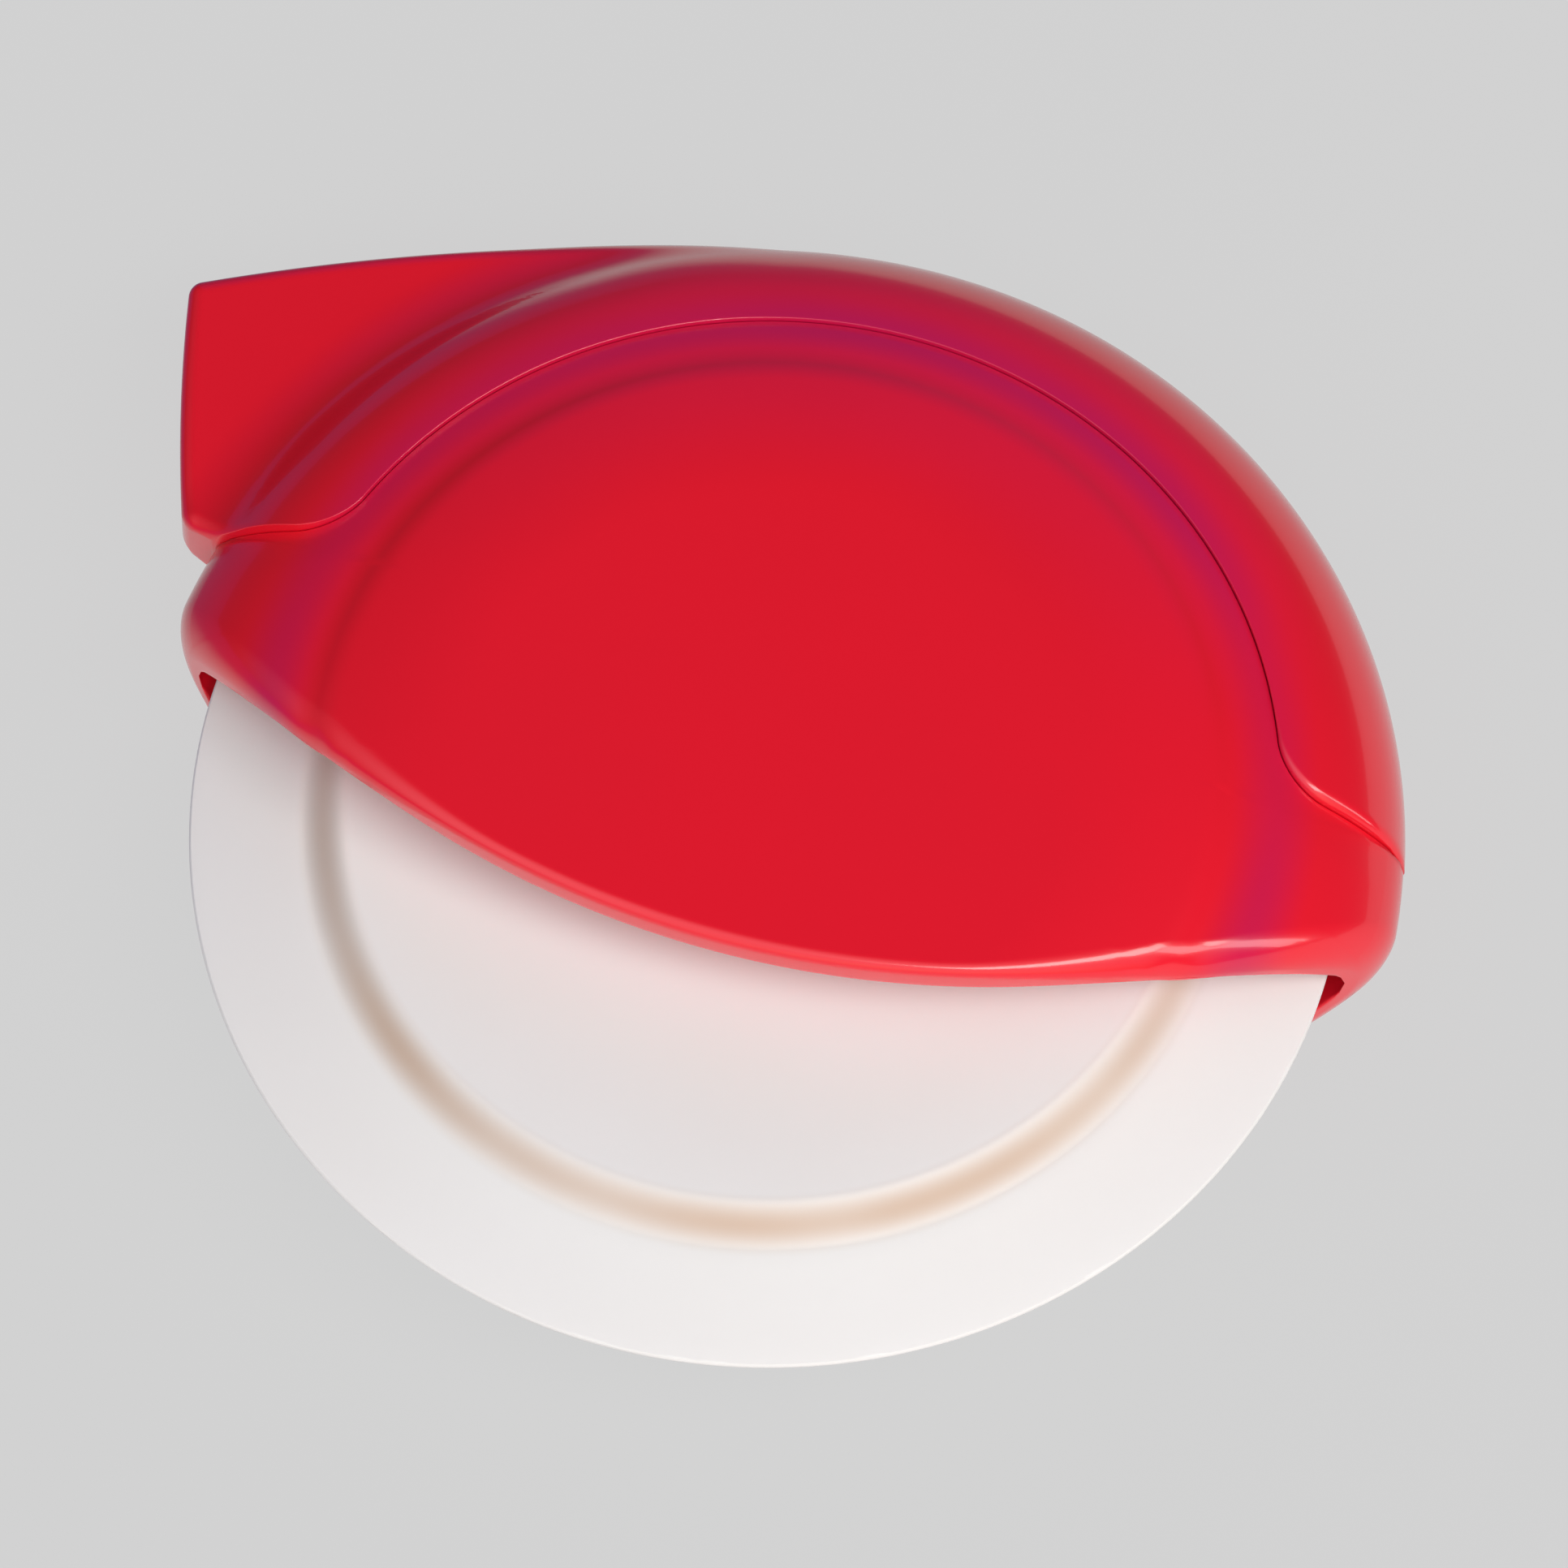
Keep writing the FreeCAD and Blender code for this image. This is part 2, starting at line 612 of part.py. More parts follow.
def make_sub_parts():
    """Every sub-part under the name of its file."""
    return {
        "front_shell": make_front_shell(),
        "back_shell": make_back_shell(),
        "grip_saddle": make_saddle(),
        "cutting_wheel": make_cutting_wheel(),
        "wheel_back_disc": turned_body("wheel_back_disc", ring_path(
            "bush_radius", "back_disc_radius", above("disc_half", BACK),
            above("back_disc_inset", BACK))),
        "hub_bush": make_hub_bush(),
        "axle_sleeve": turned_body("axle_sleeve", ring_path(
            "sleeve_bore", "axle_radius", above("sleeve_half", BACK), above("sleeve_half"))),
        "front_thrust_washer": turned_body("front_thrust_washer", ring_path(
            "axle_radius", "washer_radius", above("washer_inner"), above("boss_tip"))),
        "threaded_insert": turned_body("threaded_insert", ring_path(
            "screw_radius", "insert_radius", above("sleeve_half"), above("insert_end"))),
        "axle_screw": make_axle_screw(),
        "back_thrust_washer": turned_body("back_thrust_washer", ring_path(
            "axle_radius", "washer_radius", above("boss_tip", BACK), above("washer_inner", BACK))),
        "spring_washer": turned_body("spring_washer", ring_path(
            "screw_radius + screw_play", "spring_washer_radius",
            above("spring_washer_end", BACK), above("counterbore_end", BACK))),
        "screw_cap": turned_body("screw_cap", ring_path(
            "0", "counterbore_radius", "0", above("cap_inner", BACK))),
    }


def check_document():
    """Stop on any object that failed to build."""
    for item in doc.Objects:
        if "Invalid" in item.State or "Error" in item.State:
            raise RuntimeError(f"{item.Name} failed: {item.State}")


def export(parts):
    """Write each sub-part to a file of its own."""
    os.makedirs("parts", exist_ok=True)
    for name, item in parts.items():
        item.Label = name
        shape = item.Shape
        if shape.isNull() or not shape.isValid() or not shape.Solids:
            raise RuntimeError(f"{name} has no valid solid")
        shape.exportStep(f"parts/{name}.step")
        print(f"{name}: {len(shape.Solids)} solid(s), {shape.Volume / 1000:.2f} cm3")


sub_parts = make_sub_parts()
doc.recompute()
check_document()
export(sub_parts)
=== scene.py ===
"""Palm-held rolling cutter, dressed for its portrait.

The tool lies on its back dome. +Z is the wheel's axis and points out of the front dome. +Y
points to the top of the hood and -Y to the bare half of the wheel. Sizes in the classes are in
millimetres and meshes are in metres. "Depth" is a distance under a surface, and "height" a
distance from the wheel's middle plane, outwards to either side.
"""
from __future__ import annotations

import logging
import math
from dataclasses import dataclass, field
from enum import Enum
from typing import Callable, Sequence

import bmesh
import bpy
import numpy as np
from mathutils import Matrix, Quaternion, Vector

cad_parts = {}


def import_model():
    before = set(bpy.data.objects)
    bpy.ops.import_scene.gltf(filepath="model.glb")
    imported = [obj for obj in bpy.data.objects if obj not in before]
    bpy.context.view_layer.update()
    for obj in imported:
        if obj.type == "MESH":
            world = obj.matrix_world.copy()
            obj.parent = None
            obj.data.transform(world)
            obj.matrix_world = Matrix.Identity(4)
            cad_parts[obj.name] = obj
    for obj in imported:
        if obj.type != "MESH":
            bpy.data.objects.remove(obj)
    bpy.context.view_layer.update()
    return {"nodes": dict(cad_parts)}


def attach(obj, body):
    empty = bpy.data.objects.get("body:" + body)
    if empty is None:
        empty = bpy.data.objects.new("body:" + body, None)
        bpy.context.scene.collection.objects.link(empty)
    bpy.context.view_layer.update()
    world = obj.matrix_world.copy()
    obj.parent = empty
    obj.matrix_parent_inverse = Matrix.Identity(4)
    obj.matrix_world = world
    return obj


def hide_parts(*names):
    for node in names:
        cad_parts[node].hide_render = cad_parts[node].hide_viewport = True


Array = np.ndarray
Material, Object = bpy.types.Material, bpy.types.Object
Node, Socket, Tree = bpy.types.Node, bpy.types.NodeSocket, bpy.types.NodeTree

LOG = logging.getLogger("rolling_cutter")
MM = 0.001
MIDDLE = 15.0  # the wheel's middle plane above the resting plane
TWIN_DISTANCE = 2e-6  # vertices nearer than this, in metres, are one
SADDLE_SINE = 0.15  # rays with a lower sine pass below the saddle
NO_SADDLE = 60.0  # a radius past the rim, for rays that miss the saddle
BISECTIONS = 44
QUARTER_TURN = math.pi / 2


class Side(Enum):
    """The two halves of the hood."""

    FRONT = 1
    BACK = -1


class Body(Enum):
    """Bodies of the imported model."""

    HOOD = "hood"
    WHEEL = "wheel"


class Slot(Enum):
    """Material slots."""

    SHELL = "red_shell"
    SADDLE = "red_saddle"
    WHEEL = "white_nylon"


# ---- Small helpers ----

def linear(code: str) -> tuple[float, float, float, float]:
    """Turn an sRGB hex colour into the linear values that shaders take.

    Args:
        code: six hex digits, with or without "#".

    Returns:
        Linear red, green and blue, and a full alpha.
    """
    digits = code.lstrip("#")
    values = [int(digits[at:at + 2], 16) / 255 for at in (0, 2, 4)]
    curve = [v / 12.92 if v <= 0.04045 else ((v + 0.055) / 1.055) ** 2.4 for v in values]
    return curve[0], curve[1], curve[2], 1.0


def smooth(value: Array | float, low: float, high: float) -> Array:
    """Ease from 0 at low to 1 at high."""
    share = np.clip((np.asarray(value, float) - low) / (high - low), 0.0, 1.0)
    return share * share * (3.0 - 2.0 * share)


def blend(first: Array | float, second: Array | float, share: Array) -> Array:
    """Mix two values by a share from 0 to 1."""
    return first + (second - first) * share


def rolled(distance: Array, radius: Array | float) -> Array:
    """Depth that a rounded edge takes off a surface at a distance from the edge.

    Args:
        distance: inside distance from the edge, in millimetres.
        radius: rounding of the edge.

    Returns:
        Depth, from the radius at the edge to 0 at that distance and further in.
    """
    left = np.clip(radius - distance, 0.0, radius)
    return radius - np.sqrt(np.maximum(radius ** 2 - left ** 2, 0.0))


def meet(first: Array, second: Array, radius: float) -> Array:
    """Inside distance of the region that two edges share, with its corner rounded.

    Args:
        first: inside distance from one edge.
        second: inside distance from the other.
        radius: rounding of the corner between them.

    Returns:
        Inside distance from both.
    """
    left = np.maximum(radius - first, 0.0)
    right = np.maximum(radius - second, 0.0)
    near = radius - np.hypot(left, right)
    return np.where((left > 0) & (right > 0), near, np.minimum(first, second))


def falling_root(test: Callable[[Array], Array], low: Array,
                 high: Array) -> Array:
    """Where a falling function of an array crosses zero, between two arrays of limits.

    Args:
        test: the function, positive at the low limits.
        low: lower limits.
        high: upper limits, which are the answer where the function stays positive.

    Returns:
        Crossing points.
    """
    low, high = np.array(low, float), np.array(high, float)
    for _ in range(BISECTIONS):
        middle = (low + high) / 2
        inside = test(middle) > 0
        low, high = np.where(inside, middle, low), np.where(inside, high, middle)
    return (low + high) / 2


# ---- Sections and plans ----

@dataclass(frozen=True)
class Section:
    """Half-section of a turned surface, from the axis outwards.

    Each corner is (radius, height) where a straight run starts or (radius, height, curve) where an
    arc starts. A positive curve bulges out of the solid below, and a negative one is hollow.
    """

    corners: tuple[tuple[float, ...], ...]
    step: float = 0.02

    def trace(self) -> "Trace":
        """Sample the section closely along its length."""
        points: list[Array] = []
        for start, end in zip(self.corners, self.corners[1:]):
            run = self._run(start, end)
            points.extend(run if not points else run[1:])
        path = np.array(points)
        travel = np.concatenate([[0.0], np.cumsum(np.hypot(*np.diff(path, axis=0).T))])
        along = np.gradient(path, travel, axis=0)
        along /= np.linalg.norm(along, axis=1)[:, None]
        return Trace(travel, path[:, 0], path[:, 1], along[:, 1], -along[:, 0])

    def _run(self, start: tuple[float, ...], end: tuple[float, ...]) -> Array:
        """Points of one run or arc, both ends included."""
        first, last = np.array(start[:2]), np.array(end[:2])
        chord = last - first
        length = float(np.hypot(*chord))
        count = max(2, int(length / self.step))
        share = np.linspace(0.0, 1.0, count)[:, None]
        if len(start) == 2:
            return first + chord * share
        curve = start[2]
        inward = np.array([chord[1], -chord[0]]) / length * math.copysign(1.0, curve)
        centre = (first + last) / 2 + inward * math.sqrt(curve ** 2 - length ** 2 / 4)
        begin = math.atan2(*(first - centre)[::-1])
        sweep = math.atan2(*(last - centre)[::-1]) - begin
        sweep = (sweep + math.pi) % math.tau - math.pi
        angle = begin + sweep * share[:, 0]
        return centre + abs(curve) * np.column_stack([np.cos(angle), np.sin(angle)])


@dataclass(frozen=True)
class Trace:
    """A sampled section: travel along it, radius, height and the direction into the solid."""

    travel: Array
    radius: Array
    height: Array
    into_radius: Array
    into_height: Array

    @property
    def length(self) -> float:
        """Travel at the section's end."""
        return float(self.travel[-1])

    def at(self, travel: Array) -> tuple[Array, Array]:
        """Radius and height at a travel."""
        return (np.interp(travel, self.travel, self.radius),
                np.interp(travel, self.travel, self.height))

    def into(self, travel: Array) -> tuple[Array, Array]:
        """Direction into the solid at a travel."""
        return (np.interp(travel, self.travel, self.into_radius),
                np.interp(travel, self.travel, self.into_height))

    def height_over(self, radius: Array) -> Array:
        """Height over a radius, for a section that never turns back."""
        return np.interp(radius, self.radius, self.height)

    def travel_to(self, radius: Array) -> Array:
        """Travel at which a radius is reached."""
        return np.interp(radius, self.radius, self.travel)


@dataclass(frozen=True)
class HoodPlan:
    """Plan of the hood's open side: a lip that sags between the two noses."""

    hood_radius: float = 55.0
    lip_curve: float = 84.0
    lip_drop: float = 17.2
    roll_middle: float = 1.0
    roll_nose: float = 2.5
    roll_inside: float = 0.35
    roll_grows: tuple[float, float] = (24.0, 44.0)

    @property
    def centre(self) -> float:
        """Height of the lip's centre above the axle."""
        return self.lip_curve - self.lip_drop

    def inside(self, radius: Array, angle: Array) -> Array:
        """Inside distance from the lip, for points given by radius and angle."""
        x, y = radius * np.cos(angle), radius * np.sin(angle)
        return self.lip_curve - np.hypot(x, y - self.centre)

    def reach(self, angle: Array) -> Array:
        """Radius at which a ray crosses the lip's circle."""
        rise = self.centre * np.sin(angle)
        return rise + np.sqrt(rise ** 2 + self.lip_curve ** 2 - self.centre ** 2)

    def roll(self, angle: Array) -> Array:
        """Rounding of the lip, which grows towards the noses."""
        reach = np.minimum(self.reach(angle), self.hood_radius)
        return blend(self.roll_middle, self.roll_nose, smooth(reach, *self.roll_grows))


@dataclass(frozen=True)
class SaddlePlan:
    """Plan of the saddle: two cheeks over the rim and a flat fin at the left."""

    cheek_radius: float = 44.0
    cheek_end: float = 12.0
    cheek_corner: float = 4.0
    edge: float = 55.1
    fin_start: tuple[float, float] = (-10.6, 53.97)
    fin_tip: tuple[float, float] = (-63.2, 35.6)
    fin_heel: tuple[float, float] = (-56.9, 12.9)
    fin_foot: tuple[float, float] = (-54.0, 12.0)
    fin_back_curve: float = 195.0
    fin_end_curve: float = 150.0
    fin_corner: float = 1.0
    fin_spread: float = 0.9  # turn, in radians, after which only the fin bounds the saddle
    cheek_search: tuple[float, float] = (-3.0, 13.0)
    fin_search: float = 40.0

    def cheek(self, radius: Array, angle: Array, grow: float = 0.0) -> Array:
        """Inside distance from the edge of the cheeks, grown by a margin."""
        return meet(radius - self.cheek_radius + grow,
                    radius * np.sin(angle) - self.cheek_end + grow, self.cheek_corner)

    def cheek_start(self, angle: Array, grow: float = 0.0) -> Array:
        """Radius at which a ray enters the cheeks."""
        low, high = (np.full_like(angle, self.cheek_radius + off) for off in self.cheek_search)
        return falling_root(lambda r: -self.cheek(r, angle, grow), low, high)

    def fin(self, radius: Array, angle: Array) -> Array:
        """Inside distance from the outline of the fin."""
        x, y = radius * np.cos(angle), radius * np.sin(angle)
        back = self._arc_inside(self.fin_tip, self.fin_start, self.fin_back_curve, x, y)
        end = self._arc_inside(self.fin_heel, self.fin_tip, self.fin_end_curve, x, y)
        run = np.array(self.fin_foot) - np.array(self.fin_heel)
        across = np.array([-run[1], run[0]]) / np.hypot(*run)
        foot = (x - self.fin_foot[0]) * across[0] + (y - self.fin_foot[1]) * across[1]
        return meet(meet(back, end, self.fin_corner), foot, self.fin_corner)

    def fin_angle(self) -> float:
        """Angle at which the fin's back leaves the hood."""
        return math.atan2(self.fin_start[1], self.fin_start[0])

    def outline(self, angle: Array) -> Array:
        """Radius at which a ray leaves the saddle."""
        low = np.full_like(angle, self.cheek_radius)
        fin = falling_root(lambda r: self.fin(r, angle), low, low + self.fin_search)
        fin = np.where(angle > self.fin_angle(), fin, self.edge)
        past_band = angle > self.fin_angle() + self.fin_spread
        return np.maximum(fin, np.where(past_band, 0.0, self.edge))

    @staticmethod
    def _arc_inside(start: tuple[float, float], end: tuple[float, float], curve: float,
                    x: Array, y: Array) -> Array:
        """Inside distance from an arc that bulges to the left of its way from start to end."""
        first, last = np.array(start), np.array(end)
        chord = last - first
        length = float(np.hypot(*chord))
        right = np.array([chord[1], -chord[0]]) / length
        centre = (first + last) / 2 + right * math.sqrt(curve ** 2 - length ** 2 / 4)
        return curve - np.hypot(x - centre[0], y - centre[1])


# ---- Meshes ----

def ray_mesh(name: str, radius: Array, height: Array, angles: Array, *,
             closed_rows: bool, closed_rays: bool) -> Object:
    """Skin a set of sections that stand on rays from the wheel's axis.

    Args:
        name: name of the object.
        radius: radii, one row of the array for each step along the section, one column a ray.
        height: heights from the middle plane, signed, in the same layout.
        angles: angle of each ray.
        closed_rows: join the last step to the first.
        closed_rays: join the last ray to the first.

    Returns:
        The object, its doubles merged and its faces pointing outwards.
    """
    steps, rays = radius.shape
    points = np.stack([radius * np.cos(angles), radius * np.sin(angles), MIDDLE + height], -1) * MM
    row = np.arange(steps if closed_rows else steps - 1)
    ray = np.arange(rays if closed_rays else rays - 1)
    row, ray = np.meshgrid(row, ray, indexing="ij")
    next_row, next_ray = (row + 1) % steps, (ray + 1) % rays
    faces = np.stack([row * rays + ray, row * rays + next_ray,
                      next_row * rays + next_ray, next_row * rays + ray], -1).reshape(-1, 4)
    ends = [] if closed_rays else [(np.arange(steps) * rays + end).tolist()
                                   for end in (0, rays - 1)]
    mesh = bpy.data.meshes.new(name)
    mesh.from_pydata(points.reshape(-1, 3).tolist(), [], faces.tolist() + ends)
    return tidy(bpy.data.objects.new(name, mesh))


def tidy(piece: Object, sharp: float = 38.0) -> Object:
    """Merge doubles, drop empty faces, point faces outwards and shade smooth up to an angle.

    Args:
        piece: mesh object to clean.
        sharp: angle in degrees from which an edge stays sharp.

    Returns:
        The same object, linked to the scene.
    """
    if piece.name not in bpy.context.scene.collection.objects:
        bpy.context.scene.collection.objects.link(piece)
    bm = bmesh.new()
    bm.from_mesh(piece.data)
    bmesh.ops.remove_doubles(bm, verts=bm.verts, dist=TWIN_DISTANCE)
    bmesh.ops.dissolve_degenerate(bm, edges=bm.edges, dist=TWIN_DISTANCE)
    loose = [vert for vert in bm.verts if not vert.link_faces]
    bmesh.ops.delete(bm, geom=loose, context="VERTS")
    bmesh.ops.recalc_face_normals(bm, faces=bm.faces)
    bm.to_mesh(piece.data)
    bm.free()
    piece.data.shade_smooth()
    piece.data.set_sharp_from_angle(angle=math.radians(sharp))
    return piece


def dress(piece: Object, material: Material) -> None:
    """Give a piece one material."""
    piece.data.materials.clear()
    piece.data.materials.append(material)


def place(piece: Object, body: Body, slot: Slot, *nodes: str) -> None:
    """Ride a piece on a body and say which nodes it stands for."""
    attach(piece, body.value)
    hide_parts(*nodes)
    LOG.info("%s rides on %s for %s", piece.name, body.value, ", ".join(nodes))


# ---- Hood ----

def hood_angles() -> Array:
    """Rays round the hood, closer together at the noses and at the ends of the saddle."""
    fine = np.radians(np.arange(-9.0, 24.0, 0.3))
    top = np.radians(np.arange(24.0, 156.0, 0.8))
    bottom = np.radians(np.arange(189.0, 351.0, 0.8))
    return np.concatenate([fine, top, np.pi - fine[::-1], bottom])


@dataclass
class HoodShell:
    """One half of the hood: a dome with a stepped rim, let in for the saddle, open below."""

    side: Side
    plan: HoodPlan = field(default_factory=HoodPlan)
    saddle: SaddlePlan = field(default_factory=SaddlePlan)
    outer: Section = Section((
        (0.0, 15.0), (26.0, 15.0, 50.0), (37.25, 13.72, 6.0), (39.08, 12.96, -6.0),
        (41.0, 12.18, 22.7), (53.3, 4.66, 7.25), (55.0, 0.0)))
    cavity: Section = Section((
        (7.5, 11.9), (30.0, 11.9, 27.15), (50.8, 2.2, 3.43), (51.6, 0.0)))
    seat: Section = Section(((40.7, 10.93, 21.4), (52.3, 3.82, 5.95), (53.7, 0.0)))
    joint_gap: float = 0.06
    joint_roll: float = 0.08
    dip_depth: float = 0.1  # how far the shoulder sinks towards the joint
    dip_width: float = 4.5
    dip_fades: float = 4.0  # height under which the dip runs out, at the rim
    cap_bore: float = 4.55
    lip_rows: int = 13
    lip_zone: float = 1.9  # stretch of fine rows at the lip, in roundings
    joint_zone: float = 0.5  # the same at the joint, in millimetres
    squeezed: float = 8.0  # stretch in which the remaining rows are packed
    front_core: tuple[tuple[float, float], ...] = (
        (7.5, 6.75), (7.35, 6.6), (4.0, 6.6), (4.0, 8.0), (3.0, 8.0), (3.0, 12.2), (0.0, 12.2))
    back_core: tuple[tuple[float, float], ...] = (
        (7.5, 6.75), (7.35, 6.6), (4.0, 6.6), (4.0, 8.0), (2.15, 8.0), (2.15, 9.6), (4.4, 9.6),
        (4.4, 14.8))

    def make(self, material: Material) -> None:
        """Build the shell, dress it and put it on the hood."""
        angles = hood_angles()
        radius, height = self._skin(angles)
        name = f"hood_shell_{self.side.name.lower()}"
        piece = ray_mesh(name, radius, height * self.side.value, angles,
                         closed_rows=self.side is Side.BACK, closed_rays=True)
        dress(piece, material)
        place(piece, Body.HOOD, Slot.SHELL, f"{self.side.name.lower()}_shell")

    def _skin(self, angles: Array) -> tuple[Array, Array]:
        """Radii and heights of the whole skin, from the crown over the rim and back inside."""
        outer, cavity, seat = self.outer.trace(), self.cavity.trace(), self.seat.trace()
        roll = self.plan.roll(angles)
        lip = falling_root(lambda s: self._lip_clearance(outer, s, angles, roll),
                           np.zeros_like(angles), np.full_like(angles, outer.length))
        let_in = self._seat_start(angles)
        end = np.minimum(lip, outer.travel_to(let_in))
        outer_r, outer_h = self._outer_rows(outer, end, angles, roll)
        to_joint = np.maximum(-self.saddle.cheek(outer_r, angles, self.joint_gap), 0.0)
        dip = self.dip_depth * (1.0 - smooth(to_joint, 0.0, self.dip_width))
        let_down = rolled(to_joint, self.joint_roll) + dip * smooth(outer_h, 0.0, self.dip_fades)
        outer_h = np.maximum(outer_h - let_down * (np.sin(angles) > SADDLE_SINE), 0.0)

        edge_r, edge_h = outer_r[-1], outer_h[-1]
        cavity_end = np.minimum(edge_r, cavity.radius[-1])
        inner_roll = np.clip((cavity.radius[-1] - edge_r) * 0.5, 0.0, self.plan.roll_inside)
        inside_h = cavity.height_over(cavity_end) + inner_roll
        seated = let_in < self.plan.hood_radius
        seat_h = np.where(edge_r < seat.radius[-1], seat.height_over(edge_r), 0.0)
        wall_h = np.minimum(np.where(seated, seat_h, np.where(
            edge_r < cavity.radius[-1], inside_h, 0.0)), edge_h)
        rows = [(edge_r, blend(edge_h, wall_h, np.full_like(edge_h, share)))
                for share in (0.33, 0.67, 1.0)]
        seat_end = np.where(seated, np.maximum(edge_r, seat.radius[-1]), edge_r)
        for share in np.sin(np.linspace(0.1, 1.0, 10) * QUARTER_TURN):
            radius = blend(edge_r, seat_end, np.full_like(edge_r, share))
            height = np.where(seated & (edge_r < seat.radius[-1]),
                              seat.height_over(radius), wall_h)
            rows.append((radius, height))
        rows += self._cavity_rows(cavity, cavity_end, angles, inner_roll)
        core = self.front_core if self.side is Side.FRONT else self.back_core
        rows += [(np.full_like(angles, r), np.full_like(angles, h)) for r, h in core]
        radius = np.vstack([outer_r, np.array([r for r, _ in rows])])
        height = np.vstack([outer_h, np.array([h for _, h in rows])])
        return radius, height

    def _seat_start(self, angles: Array) -> Array:
        """Radius at which a ray enters the recess of the saddle, or past the rim if it doesn't."""
        crossing = self.saddle.cheek_start(angles, self.joint_gap)
        return np.where(np.sin(angles) > SADDLE_SINE, crossing, NO_SADDLE)

    def _lip_clearance(self, outer: Trace, travel: Array, angles: Array,
                       roll: Array) -> Array:
        """Inside distance from the lip at full rounding depth under the outer surface."""
        radius, _ = outer.at(travel)
        into, _ = outer.into(travel)
        return self.plan.inside(radius + into * roll, angles)

    def _outer_rows(self, outer: Trace, end: Array, angles: Array,
                    roll: Array) -> tuple[Array, Array]:
        """Rows of the outer surface, with the lip rolled over.

        Args:
            outer: sampled outer section.
            end: travel at which each ray's outer surface ends.
            angles: angle of each ray.
            roll: rounding of the lip on each ray.

        Returns:
            Radii and heights.
        """
        start = 0.0 if self.side is Side.FRONT else self.cap_bore
        fixed = np.concatenate([
            [start, 6.0, 9.0, 12.0, 15.0, 18.0, 20.5, 23.0], np.arange(25.0, 36.5, 0.8),
            np.arange(36.6, 43.4, 0.2), np.arange(43.6, outer.length, 0.5)])
        from_top = np.abs(np.degrees(angles) - 90.0)
        at_joint = smooth(from_top, 76.0, 70.0) * (np.sin(angles) > 0)
        last_zone = blend(roll * self.lip_zone, self.joint_zone, at_joint)
        stop = end - last_zone
        squeeze = stop - self.squeezed
        packed = squeeze + (fixed[:, None] - squeeze) * self.squeezed / (outer.length - squeeze)
        travel = np.where(fixed[:, None] < squeeze, fixed[:, None], packed)
        steps = np.sin(np.linspace(0.0, 1.0, self.lip_rows) * QUARTER_TURN)
        travel = np.vstack([travel, stop + last_zone * steps[:, None]])

        radius, height = outer.at(travel)
        into_r, into_h = outer.into(travel)
        depth = falling_root(
            lambda t: rolled(np.maximum(self.plan.inside(radius + into_r * t, angles), 0.0),
                             roll) - t,
            np.zeros_like(travel), np.broadcast_to(roll, travel.shape))
        return radius + into_r * depth, height + into_h * depth

    def _cavity_rows(self, cavity: Trace, end: Array, angles: Array,
                     inner_roll: Array) -> list[tuple[Array, Array]]:
        """Rows of the cavity, from the lip or the rim in to the boss."""
        finish = cavity.travel_to(end)
        near = 1.0 - np.cos(np.linspace(0.0, 1.0, 6) * QUARTER_TURN)
        rows = []
        shares = np.concatenate([near * 0.03, np.linspace(0.06, 1.0, 26)])
        for share in shares:
            travel = finish * (1.0 - share)
            radius, height = cavity.at(travel)
            open_edge = np.maximum(self.plan.inside(radius, angles), 0.0)
            lift = rolled(open_edge, np.maximum(inner_roll, 1e-4)) * (end < cavity.radius[-1])
            rows.append((radius, height + lift))
        return rows


